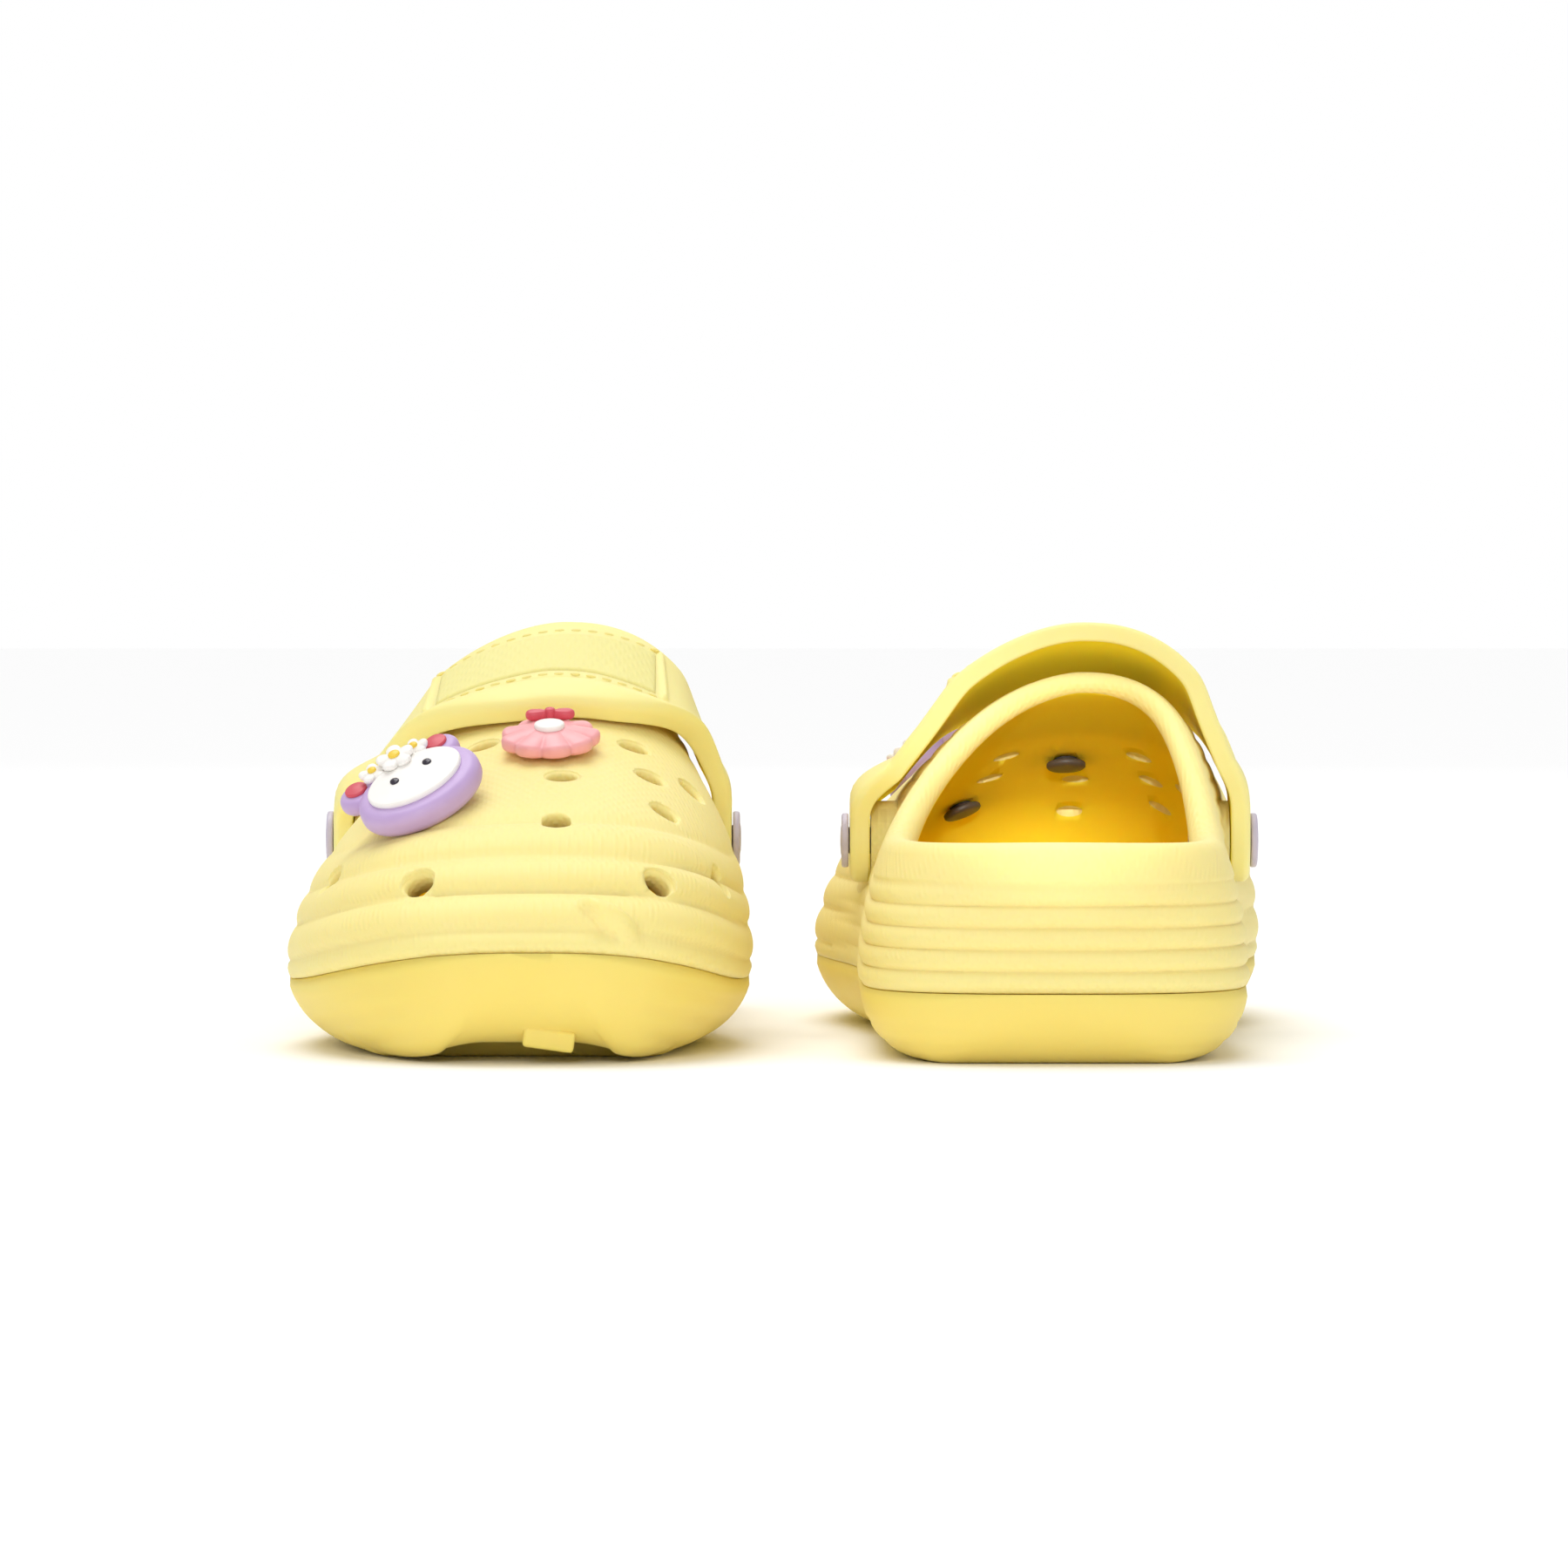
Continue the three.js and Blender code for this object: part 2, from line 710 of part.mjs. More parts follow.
const plastic = (color, roughness) => new THREE.MeshStandardMaterial({ color, roughness, metalness: 0 });
const finishes = {
  foam: () => plastic('#f8e68c', 0.62),
  soleFoam: () => plastic('#f3d96c', 0.6),
  bedFoam: () => plastic('#f4d55a', 0.7),
  strapFoam: () => plastic('#faec9d', 0.6),
  label: () => plastic('#f9ea9b', 0.75),
  rivet: () => plastic('#c9c2cf', 0.4),
  plug: () => plastic('#57504a', 0.5),
  lilac: () => plastic('#c4a5dd', 0.5),
  white: () => plastic('#f6f3ee', 0.5),
  coral: () => plastic('#d2545c', 0.5),
  dark: () => plastic('#3a3440', 0.35),
  pink: () => plastic('#f6b0b0', 0.5),
  yolk: () => plastic('#f4d44e', 0.5),
};

function named(name, geometry, finish) {
  const mesh = new THREE.Mesh(geometry, finishes[finish]());
  mesh.name = name;
  return mesh;
}

// ---- one clog ----

function bearCharm(prefix) {
  const frame = surfaceFrame(bearVent);
  frame.add(named(`${prefix}_bear_plug`, plug(bearStandOff, vampWall), 'plug'));
  const front = new THREE.Group();
  front.position.z = bearStandOff;
  front.rotation.z = bearTilt;
  front.add(named(`${prefix}_bear_head`, bearHead(), 'lilac'));
  front.add(named(`${prefix}_bear_face`, bearFace(), 'white'));
  for (const ear of ears) {
    const word = ear.side < 0 ? 'outer' : 'inner';
    front.add(named(`${prefix}_bear_eye_${word}`, bearEye(ear.side), 'dark'));
    front.add(named(`${prefix}_bear_ear_pad_${word}`, earInner(ear), 'coral'));
  }
  const bloom = new THREE.Group();
  bloom.position.set(0, bearRadius * 0.62, faceTop + charmGap);
  bloom.add(named(`${prefix}_bear_flower`, flower(flowerRadius, 5, flowerThickness, 0), 'white'));
  const dot = slab(ellipse(0, 0, flowerEyeRadius, flowerEyeRadius), 0.7, flowerThickness + charmGap, 0, 6);
  bloom.add(named(`${prefix}_bear_flower_eye`, dot, 'yolk'));
  front.add(bloom);
  frame.add(front);
  return frame;
}

function shellCharm(prefix) {
  const frame = surfaceFrame(shellVent);
  frame.add(named(`${prefix}_shell_plug`, plug(shellStandOff, vampWall), 'plug'));
  const front = new THREE.Group();
  front.position.z = shellStandOff;
  front.add(named(`${prefix}_shell_body`, shellBody(), 'pink'));
  front.add(named(`${prefix}_shell_centre`, shellCentre(), 'white'));
  front.add(named(`${prefix}_shell_bow`, shellBow(), 'coral'));
  frame.add(front);
  return frame;
}

function clog(prefix) {
  const group = new THREE.Group();
  group.add(named(`${prefix}_upper`, toGeometry(upper()), 'foam'));
  group.add(named(`${prefix}_sole`, sole(), 'soleFoam'));
  group.add(named(`${prefix}_footbed`, footbed(), 'bedFoam'));
  group.add(named(`${prefix}_strap`, strap(), 'strapFoam'));
  group.add(named(`${prefix}_strap_label`, label(), 'label'));
  for (const [word, side] of [['outer', -1], ['inner', 1]]) {
    group.add(named(`${prefix}_rivet_button_${word}`, rivetButton(side), 'rivet'));
    group.add(named(`${prefix}_rivet_socket_${word}`, rivetSocket(side), 'rivet'));
  }
  group.add(bearCharm(prefix));
  group.add(shellCharm(prefix));
  return group;
}

// ---- the pair ----

const pair = new THREE.Group();
const right = clog('right');
right.position.x = -pairSpacing / 2;
const left = clog('left');
left.position.x = pairSpacing / 2;
left.scale.y = -1;
pair.add(right, left);

export default pair;
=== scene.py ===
import bpy
import bmesh
import json
import math
from mathutils import Matrix, Vector


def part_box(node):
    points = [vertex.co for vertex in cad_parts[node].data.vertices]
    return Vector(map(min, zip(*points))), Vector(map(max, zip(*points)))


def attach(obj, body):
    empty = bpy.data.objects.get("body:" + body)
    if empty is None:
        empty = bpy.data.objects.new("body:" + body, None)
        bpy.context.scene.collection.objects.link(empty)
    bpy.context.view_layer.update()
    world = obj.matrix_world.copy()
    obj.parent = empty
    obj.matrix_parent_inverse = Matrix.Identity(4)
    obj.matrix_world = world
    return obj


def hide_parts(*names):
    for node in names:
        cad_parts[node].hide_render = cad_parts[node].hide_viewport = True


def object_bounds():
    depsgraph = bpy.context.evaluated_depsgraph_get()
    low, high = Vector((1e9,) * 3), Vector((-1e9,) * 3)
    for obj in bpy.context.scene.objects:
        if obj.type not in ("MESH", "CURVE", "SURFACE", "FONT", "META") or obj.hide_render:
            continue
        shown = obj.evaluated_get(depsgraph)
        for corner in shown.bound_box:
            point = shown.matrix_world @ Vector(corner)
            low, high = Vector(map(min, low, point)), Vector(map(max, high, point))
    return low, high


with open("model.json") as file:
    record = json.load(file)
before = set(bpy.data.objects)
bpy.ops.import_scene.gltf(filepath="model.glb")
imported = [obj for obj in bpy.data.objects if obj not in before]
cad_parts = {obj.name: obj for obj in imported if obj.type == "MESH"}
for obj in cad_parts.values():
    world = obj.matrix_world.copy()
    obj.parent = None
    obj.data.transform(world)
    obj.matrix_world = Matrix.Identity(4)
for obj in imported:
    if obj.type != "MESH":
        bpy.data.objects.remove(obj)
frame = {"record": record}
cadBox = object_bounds()
print("frame loaded")

mm = 0.001  # all pieces are shaped in millimetres in the right clog's own place, then scaled and mirrored

# the camera stands low in front of the pair, with a long lens
cameraSet = {"distance": 1750, "height": 115, "tiltDown": 1.784, "lens": 188.1}


def makeCamera():
    data = bpy.data.cameras.new("camera")
    data.lens = cameraSet["lens"]
    data.sensor_width = 36
    data.clip_end = 50
    camera = bpy.data.objects.new("camera", data)
    bpy.context.collection.objects.link(camera)
    camera.location = (0, cadBox[0][1] - cameraSet["distance"] * mm, cameraSet["height"] * mm)
    camera.rotation_euler = (math.radians(90 - cameraSet["tiltDown"]), 0, 0)
    bpy.context.scene.camera = camera


makeCamera()


# linear colour from an sRGB hex value
def hexColour(text):
    parts = [int(text[i:i + 2], 16) / 255 for i in (1, 3, 5)]
    return [p / 12.92 if p <= 0.04045 else ((p + 0.055) / 1.055) ** 2.4 for p in parts] + [1]


# adds one node with its settings, and links or sets its inputs
def addNode(tree, kind, settings=None, inputs=None):
    node = tree.nodes.new(kind)
    for key, value in (settings or {}).items():
        setattr(node, key, value)
    for key, value in (inputs or {}).items():
        if isinstance(value, bpy.types.NodeSocket):
            tree.links.new(value, node.inputs[key])
        else:
            node.inputs[key].default_value = value
    return node


# soft studio: a broad sun above, three lights round the pair, a narrow one into the heel, a bright room
studio = {
    "room": "#FFFFFF", "roomPower": 0.5, "floor": "#FCFCFC", "ceiling": 1.7, "ceilingSpread": 45,
    "ceilingLean": (math.radians(-14), math.radians(-8), 0), "aim": (0, 0, 0.04), "floorSize": 6,
    "lights": [
        ("frontLow", (-0.3, -1.9, 0.7), 0.7, 8.5),
        ("frontRight", (1.2, -1.2, 0.6), 0.8, 2.0),
        ("back", (0.2, 1.5, 1.0), 1.0, 2.5),
    ],
    # a narrow light over the left clog's heel, which shows the inside of its toe
    "snoot": {
        "place": (0.06, -1.3, 0.27), "aim": (0.06, -0.06, 0.062),
        "power": 80, "cone": 2.4, "blend": 0.5, "radius": 0.02,
    },
}


def makeStudio():
    world = bpy.data.worlds.new("room")
    world.use_nodes = True
    tree = world.node_tree
    seen = addNode(tree, "ShaderNodeLightPath").outputs["Is Camera Ray"]
    power = addNode(tree, "ShaderNodeMapRange", {}, {"Value": seen, "To Min": studio["roomPower"], "To Max": 1.0})
    background = tree.nodes["Background"]
    background.inputs["Color"].default_value = hexColour(studio["room"])
    tree.links.new(power.outputs["Result"], background.inputs["Strength"])
    bpy.context.scene.world = world
    ceiling = bpy.data.lights.new("ceiling", "SUN")
    ceiling.energy = studio["ceiling"]
    ceiling.angle = math.radians(studio["ceilingSpread"])
    lamp = bpy.data.objects.new("ceiling", ceiling)
    lamp.rotation_euler = studio["ceilingLean"]
    bpy.context.collection.objects.link(lamp)
    for name, place, size, power in studio["lights"]:
        data = bpy.data.lights.new(name, "AREA")
        data.shape = "DISK"
        data.size = size
        data.energy = power
        light = bpy.data.objects.new(name, data)
        light.location = place
        light.rotation_mode = "QUATERNION"
        light.rotation_quaternion = (Vector(studio["aim"]) - light.location).to_track_quat("-Z", "Y")
        bpy.context.collection.objects.link(light)
    snoot = studio["snoot"]
    beam = bpy.data.lights.new("snoot", "SPOT")
    beam.energy = snoot["power"]
    beam.spot_size = math.radians(snoot["cone"])
    beam.spot_blend = snoot["blend"]
    beam.shadow_soft_size = snoot["radius"]
    inward = bpy.data.objects.new("snoot", beam)
    inward.location = snoot["place"]
    inward.rotation_mode = "QUATERNION"
    inward.rotation_quaternion = (Vector(snoot["place"]) - Vector(snoot["aim"])).to_track_quat("Z", "Y")
    bpy.context.collection.objects.link(inward)
    bm = bmesh.new()
    bmesh.ops.create_grid(bm, x_segments=1, y_segments=1, size=studio["floorSize"])
    mesh = bpy.data.meshes.new("floor")
    bm.to_mesh(mesh)
    bm.free()
    floor = bpy.data.objects.new("floor", mesh)
    bpy.context.collection.objects.link(floor)
    material = bpy.data.materials.new("floorPaper")
    material.use_nodes = True
    shader = material.node_tree.nodes["Principled BSDF"]
    shader.inputs["Base Color"].default_value = hexColour(studio["floor"])
    shader.inputs["Roughness"].default_value = 0.9
    mesh.materials.append(material)


makeStudio()
bpy.context.scene.view_settings.view_transform = "Standard"  # plain colours, as on a white product page
print("camera, lights and floor")


# Closed-cell foam: moulded in one shot, so satin and slightly waxy; light goes a little way in,
# the skin has a fine grain, and the toe has a woven-look texture from the mould.
foamSet = {
    "grainSize": 0.35, "grainDepth": 0.05, "weavePitch": 1.6, "weaveDepth": 0.16,
    "blotchSize": 26, "scatter": 0.32, "scatterDepth": 4.5,
}


def foam(name, colour, deepColour, roughness, weave, scatter=foamSet["scatter"], depth=foamSet["scatterDepth"]):
    material = bpy.data.materials.new(name)
    material.use_nodes = True
    tree = material.node_tree
    shader = tree.nodes["Principled BSDF"]
    place = addNode(tree, "ShaderNodeTexCoord").outputs["Object"]
    blotch = addNode(tree, "ShaderNodeTexNoise", {}, {
        "Vector": place, "Scale": 1 / (foamSet["blotchSize"] * mm), "Detail": 2.0,
    })
    shade = addNode(tree, "ShaderNodeMix", {"data_type": "RGBA"}, {
        "Factor": blotch.outputs["Fac"], "A": hexColour(colour), "B": hexColour(deepColour),
    })
    tree.links.new(shade.outputs["Result"], shader.inputs["Base Color"])
    grain = addNode(tree, "ShaderNodeTexNoise", {}, {
        "Vector": place, "Scale": 1 / (foamSet["grainSize"] * mm), "Detail": 3.0,
    })
    sheen = addNode(tree, "ShaderNodeMapRange", {}, {
        "Value": grain.outputs["Fac"], "To Min": roughness - 0.06, "To Max": roughness + 0.06,
    })
    tree.links.new(sheen.outputs["Result"], shader.inputs["Roughness"])
    bump = addNode(tree, "ShaderNodeBump", {}, {
        "Height": grain.outputs["Fac"], "Distance": foamSet["grainDepth"] * mm, "Strength": 0.5,
    })
    if weave:
        bump = weaveBump(tree, place, bump)
    tree.links.new(bump.outputs["Normal"], shader.inputs["Normal"])
    shader.inputs["Subsurface Weight"].default_value = scatter
    shader.inputs["Subsurface Radius"].default_value = (1.0, 0.72, 0.28)
    shader.inputs["Subsurface Scale"].default_value = depth * mm
    shader.inputs["IOR"].default_value = 1.45
    shader.inputs["Specular IOR Level"].default_value = 0.42
    return material


# crossed diagonal threads pressed into the skin, coarser than real so that they show
def weaveBump(tree, place, under):
    rise = 1 / (foamSet["weavePitch"] * mm) * math.pi / 10
    split = addNode(tree, "ShaderNodeSeparateXYZ", {}, {"Vector": place})
    upward = addNode(tree, "ShaderNodeMath", {"operation": "SUBTRACT"}, {
        0: split.outputs["Z"], 1: split.outputs["Y"],
    })
    flat = addNode(tree, "ShaderNodeCombineXYZ", {}, {
        "X": split.outputs["X"], "Y": upward.outputs["Value"],
    })
    threads = []
    for turn in (math.radians(38), math.radians(-38)):
        turned = addNode(tree, "ShaderNodeVectorRotate", {"rotation_type": "Z_AXIS"}, {
            "Vector": flat.outputs["Vector"], "Angle": turn,
        })
        threads.append(addNode(tree, "ShaderNodeTexWave", {"bands_direction": "X"}, {
            "Vector": turned.outputs["Vector"], "Scale": rise, "Distortion": 0.0,
        }))
    cross = addNode(tree, "ShaderNodeMath", {"operation": "MULTIPLY"}, {
        0: threads[0].outputs["Fac"], 1: threads[1].outputs["Fac"],
    })
    return addNode(tree, "ShaderNodeBump", {}, {
        "Height": cross.outputs["Value"], "Distance": foamSet["weaveDepth"] * mm, "Strength": 0.5,
        "Normal": under.outputs["Normal"],
    })


# Soft vinyl and moulded plastic: smooth, even colour with a slight cloud, satin to glossy
vinylSet = {"cloudSize": 4, "grainSize": 0.25, "grainDepth": 0.02}


def vinyl(name, colour, deepColour, roughness, scatter=0.12):
    material = bpy.data.materials.new(name)
    material.use_nodes = True
    tree = material.node_tree
    shader = tree.nodes["Principled BSDF"]
    place = addNode(tree, "ShaderNodeTexCoord").outputs["Object"]
    cloud = addNode(tree, "ShaderNodeTexNoise", {}, {
        "Vector": place, "Scale": 1 / (vinylSet["cloudSize"] * mm), "Detail": 2.0,
    })
    shade = addNode(tree, "ShaderNodeMix", {"data_type": "RGBA"}, {
        "Factor": cloud.outputs["Fac"], "A": hexColour(colour), "B": hexColour(deepColour),
    })
    tree.links.new(shade.outputs["Result"], shader.inputs["Base Color"])
    grain = addNode(tree, "ShaderNodeTexNoise", {}, {
        "Vector": place, "Scale": 1 / (vinylSet["grainSize"] * mm), "Detail": 2.0,
    })
    sheen = addNode(tree, "ShaderNodeMapRange", {}, {
        "Value": cloud.outputs["Fac"], "To Min": roughness - 0.05, "To Max": roughness + 0.05,
    })
    tree.links.new(sheen.outputs["Result"], shader.inputs["Roughness"])
    bump = addNode(tree, "ShaderNodeBump", {}, {
        "Height": grain.outputs["Fac"], "Distance": vinylSet["grainDepth"] * mm, "Strength": 0.4,
    })
    tree.links.new(bump.outputs["Normal"], shader.inputs["Normal"])
    shader.inputs["Subsurface Weight"].default_value = scatter
    shader.inputs["Subsurface Radius"].default_value = (1.0, 0.8, 0.8)
    shader.inputs["Subsurface Scale"].default_value = 1.2 * mm
    shader.inputs["IOR"].default_value = 1.5
    return material


upperFoam = foam("mouldedFoamUpper", "#FBEA9C", "#F9E591", 0.56, True)
soleFoam = foam("mouldedFoamSole", "#FAE27C", "#F8DD70", 0.55, False)
# the same foam as the upper in a deeper, more saturated yellow with strong scatter: painted light, the glow of bounced
# light inside the clog and under the strap
insideGlowFoam = foam("mouldedFoamInsidePaintedGlow", "#FFE338", "#FEDD30", 0.6, False, 0.8, 10)
# footbed: the same foam in a deeper, more saturated yellow with extra scatter, painted light for the glow inside the
# clog
bedGlowFoam = foam("mouldedFoamFootbedPaintedGlow", "#FFDC3C", "#FDD430", 0.68, False, 0.6, 8)
strapFoam = foam("mouldedFoamStrap", "#FDF0A2", "#FBEB96", 0.52, False)
labelFoam = foam("pressedFoamLabel", "#FCEE9E", "#FAE992", 0.62, True)
threadYarn = vinyl("polyesterThread", "#FBEFA6", "#F3E084", 0.7)
rivetPlastic = vinyl("acetalRivet", "#CFC7D8", "#BDB4C8", 0.42)
# dark grey-brown plugs: painted shade of the charm holes, which lie in shadow under the charms
shadedPlugPlastic = vinyl("nylonPlugPaintedShade", "#5C544C", "#4B443E", 0.48, 0.0)
lilacVinyl = vinyl("softVinylLilac", "#C9AEDB", "#BFA1D2", 0.42)
whiteVinyl = vinyl("softVinylWhite", "#FBF8F3", "#F3EEE8", 0.42)
coralVinyl = vinyl("softVinylCoral", "#DD5A66", "#CF4857", 0.4)
darkVinyl = vinyl("glossVinylDark", "#352E3C", "#28222E", 0.22, 0.0)
pinkVinyl = vinyl("softVinylPink", "#F8B7B8", "#F3A3A6", 0.42)
yolkVinyl = vinyl("softVinylYolk", "#F6D44A", "#EEC636", 0.42)
print("materials")


def clamp(t):
    return min(1.0, max(0.0, t))


def mix(a, b, t):
    return a + (b - a) * t


def ease(t):
    c = clamp(t)
    return c * c * (3 - 2 * c)


def arc(t, power):
    return (1 - clamp(t) ** power) ** (1 / power)


# the clog's outline, seam and dome, from toe tip (station 0) to heel
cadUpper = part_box("right_upper")
joints = {j["name"]: j for j in frame["record"]["behaviour"]["joints"]}
rivetPlace = Vector(joints["right_strap_swing"]["pos_m"]) / mm
clog = {
    "length": (cadUpper[1][1] - cadUpper[0][1]) / mm, "offset": rivetPlace.x,
    "foreHalf": 52, "heelHalf": 42.5, "waistStart": 75, "waistRun": 75,
    "toeRound": 95, "toePower": 2.6, "heelRound": 45, "heelPower": 3, "toeShift": 5,
    "seamHeel": 15.5, "seamRise": 8.9, "seamRun": 70,
    "capHeight": 52, "capStation": 28, "capRun": 40, "rimHeight": 82, "rimStation": 128,
    "ridgeShift": 9, "heelRim": 45, "heelDome": 76.5, "heelDomeRun": 40,
    "rimFallRun": 62, "rimFallPower": 1.6, "vampWall": 5, "heelWall": 7.5,
    "toeFall": (2.2, 0.6), "archPowers": {-1: (2.2, 1.8), 1: (2.3, 2.5)}, "heelArch": 2,
}
rivetStation = rivetPlace.y + clog["length"] / 2
rivetHeight = rivetPlace.z


def toY(s):
    return s - clog["length"] / 2


def halfWidth(s):
    body = mix(clog["foreHalf"], clog["heelHalf"], ease((s - clog["waistStart"]) / clog["waistRun"]))
    toe = arc(1 - s / clog["toeRound"], clog["toePower"])
    heel = arc(1 - (clog["length"] - s) / clog["heelRound"], clog["heelPower"])
    return body * toe * heel


def centreX(s):
    return clog["toeShift"] * (1 - clamp(s / clog["waistStart"])) ** 2


def edgeX(s, side):
    return centreX(s) + side * halfWidth(s)


def seamZ(s):
    return clog["seamHeel"] + clog["seamRise"] * (1 - clamp(s / clog["seamRun"])) ** 2


def ridgeX(s):
    rise = mix(clog["toeShift"], clog["ridgeShift"], ease(s / clog["capRun"]))
    return rise * (1 - ease((s - clog["rimStation"]) / clog["waistRun"]))


def domeTop(s):
    slope = (clog["rimHeight"] - clog["capHeight"]) / (clog["rimStation"] - clog["capStation"])
    ramp = clog["capHeight"] + slope * (min(s, clog["rimStation"]) - clog["capStation"])
    crown = mix(ramp, clog["heelDome"], ease((s - clog["rimStation"]) / clog["waistRun"]))
    fall, lean = clog["toeFall"]
    toe = (1 - (1 - clamp(s / clog["capRun"])) ** fall) ** lean
    heel = arc(1 - (clog["length"] - s) / clog["heelDomeRun"], 2)
    return mix(seamZ(s), crown, toe * heel)


def archPower(s, side):
    forward = clamp(s / clog["rimStation"])
    back = ease((s - clog["rimStation"]) / clog["waistRun"])
    low, high = clog["archPowers"][side]
    return mix(mix(low, high, forward), clog["heelArch"], back)


def domeZ(s, x):
    ridge = ridgeX(s)
    side = -1 if x < ridge else 1
    reach = abs(edgeX(s, side) - ridge)
    if reach < 1e-6:
        return seamZ(s)
    return mix(seamZ(s), domeTop(s), arc(abs(x - ridge) / reach, archPower(s, side)))


def rimZ(s):
    fall = min(3, max(0, (clog["rimStation"] + clog["rimFallRun"] - s) / clog["rimFallRun"]))
    return clog["heelRim"] + (clog["rimHeight"] - clog["heelRim"]) * fall ** clog["rimFallPower"]


def wallAt(s):
    return mix(clog["vampWall"], clog["heelWall"], ease((s - clog["rimStation"]) / clog["waistRun"]))


# points spaced evenly along a polyline
def evenly(points, count):
    reach = [0.0]
    for i in range(1, len(points)):
        reach.append(reach[-1] + (points[i] - points[i - 1]).length)
    k = 1
    spaced = []
    for i in range(count + 1):
        want = min(reach[-1], reach[-1] * i / count)
        while k < len(reach) - 1 and reach[k] < want:
            k += 1
        span = (reach[k] - reach[k - 1]) or 1
        spaced.append(points[k - 1].lerp(points[k], (want - reach[k - 1]) / span))
    return spaced


# a grid whose every vertex is moved to its place on a shape, then closed where its edges meet
def shapedGrid(columns, rows, place):
    bm = bmesh.new()
    bmesh.ops.create_grid(bm, x_segments=columns, y_segments=rows, size=1)
    for vert in bm.verts:
        i = round((vert.co.x + 1) / 2 * columns)
        j = round((vert.co.y + 1) / 2 * rows)
        vert.co = place(i, j)
    bmesh.ops.remove_doubles(bm, verts=bm.verts, dist=1e-4)
    return bm


# a closed loft of equal rings, its first and last ring filled
def loftShape(sections):
    rows, count = len(sections) - 1, len(sections[0])
    bm = shapedGrid(rows, count, lambda i, j: sections[i][j % count])
    rims = [e for e in bm.edges if e.is_boundary]
    if rims:
        bmesh.ops.holes_fill(bm, edges=rims)
    bmesh.ops.recalc_face_normals(bm, faces=bm.faces)
    return bm


# gives the second material, the painted glow of light inside, to the faces that lie on a set of inner points
def markInner(bm, points):
    places = {tuple(round(c, 3) for c in p) for p in points}
    for face in bm.faces:
        if all(tuple(round(c, 3) for c in v.co) in places for v in face.verts):
            face.material_index = 1


def spunShape(profile, steps=40):
    bm = bmesh.new()
    verts = [bm.verts.new((r, 0, z)) for r, z in profile]
    edges = [bm.edges.new(pair) for pair in zip(verts, verts[1:])]
    bmesh.ops.spin(bm, geom=verts + edges, cent=(0, 0, 0), axis=(0, 0, 1), steps=steps,
                   angle=2 * math.pi, use_merge=True)
    bmesh.ops.remove_doubles(bm, verts=bm.verts, dist=1e-4)
    bmesh.ops.recalc_face_normals(bm, faces=bm.faces)
    return bm


def joinShapes(shapes):
    joined = bmesh.new()
    for bm in shapes:
        mesh = bpy.data.meshes.new("part")
        bm.to_mesh(mesh)
        bm.free()
        joined.from_mesh(mesh)
        bpy.data.meshes.remove(mesh)
    return joined


# cuts or joins two closed shapes and gives back the result
def combine(body, tool, operation):
    objects = []
    for bm in (body, tool):
        bmesh.ops.recalc_face_normals(bm, faces=bm.faces)
        mesh = bpy.data.meshes.new("work")
        bm.to_mesh(mesh)
        bm.free()
        thing = bpy.data.objects.new("work", mesh)
        bpy.context.collection.objects.link(thing)
        objects.append(thing)
    cut = objects[0].modifiers.new("cut", "BOOLEAN")
    cut.operation = operation
    cut.object = objects[1]
    cut.solver = "MANIFOLD"
    result = bmesh.new()
    result.from_object(objects[0], bpy.context.evaluated_depsgraph_get())
    for thing in objects:
        mesh = thing.data
        bpy.data.objects.remove(thing)
        bpy.data.meshes.remove(mesh)
    return result


# scales a shape from the right clog's millimetres into the row's frame and makes it a piece;
# the left clog's pieces are the right one's, mirrored front to back and moved across
def finishPiece(bm, side, name, material, replaced, slotName, strapPart=False, insideGlow=None):
    if side == "left":
        bmesh.ops.scale(bm, vec=(1, -1, 1), verts=bm.verts)
        bmesh.ops.reverse_faces(bm, faces=bm.faces)
    shift = clog["offset"] if side == "right" else -clog["offset"]
    bmesh.ops.translate(bm, vec=(shift, 0, 0), verts=bm.verts)
    bmesh.ops.scale(bm, vec=(mm, mm, mm), verts=bm.verts)
    for face in bm.faces:
        face.smooth = True
    mesh = bpy.data.meshes.new(f"{side}_{name}")
    bm.to_mesh(mesh)
    bm.free()
    mesh.materials.append(material)
    # the second material is the painted inside glow
    if insideGlow:
        mesh.materials.append(insideGlow)
    piece = bpy.data.objects.new(f"{side}_{name}", mesh)
    bpy.context.collection.objects.link(piece)
    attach(piece, f"{side}_strap" if strapPart else f"{side}_clog")
    if replaced:
        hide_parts(*[f"{side}_{node}" for node in replaced])
    return piece


# the upper: one wall profile swept round the foot opening, with its moulded relief
upperSet = {
    "rings": 480, "steps": 110, "lipSteps": 8, "insideSteps": 22, "openingX": 2, "openingShare": 0.48,
    "seamGap": 0.03, "creases": [0.0, 4.6, 16.6, 27.0, 38.5], "pillowRise": [0.8, 3.0, 2.3, 1.5],
    "leaf": (21, 31, 7.5, 2.8, 3.2), "ribPitch": 4.7, "ribDeep": 1.3, "blendFrom": 92, "blendTo": 150,
    "rimRoll": 6.4, "pillowTaper": 0.3, "pillowLevel": 0.62, "leafEnd": 30, "leafAxis": (0.86, 0.5),
    "padCore": 9, "socketRadius": 7,
    "vents": [
        (-20, 17), (32, 19), (9.5, 30.5), (45, 45), (-40.5, 48.5), (33, 49.5), (10, 56.5),
        (29.5, 67), (-12, 68), (38.5, 76.5), (25.5, 83), (-8.5, 85),
    ],
    "ventRadius": 3.1, "charmVents": [(-19, 51), (7, 74)], "plugHole": 2.8,
    "padRadius": 12, "rivetWall": 6, "boreRadius": 3.3,
}


def domeX(s, side, z):
    climb = (z - seamZ(s)) / (domeTop(s) - seamZ(s))
    return ridgeX(s) + side * abs(edgeX(s, side) - ridgeX(s)) * arc(climb, archPower(s, side))


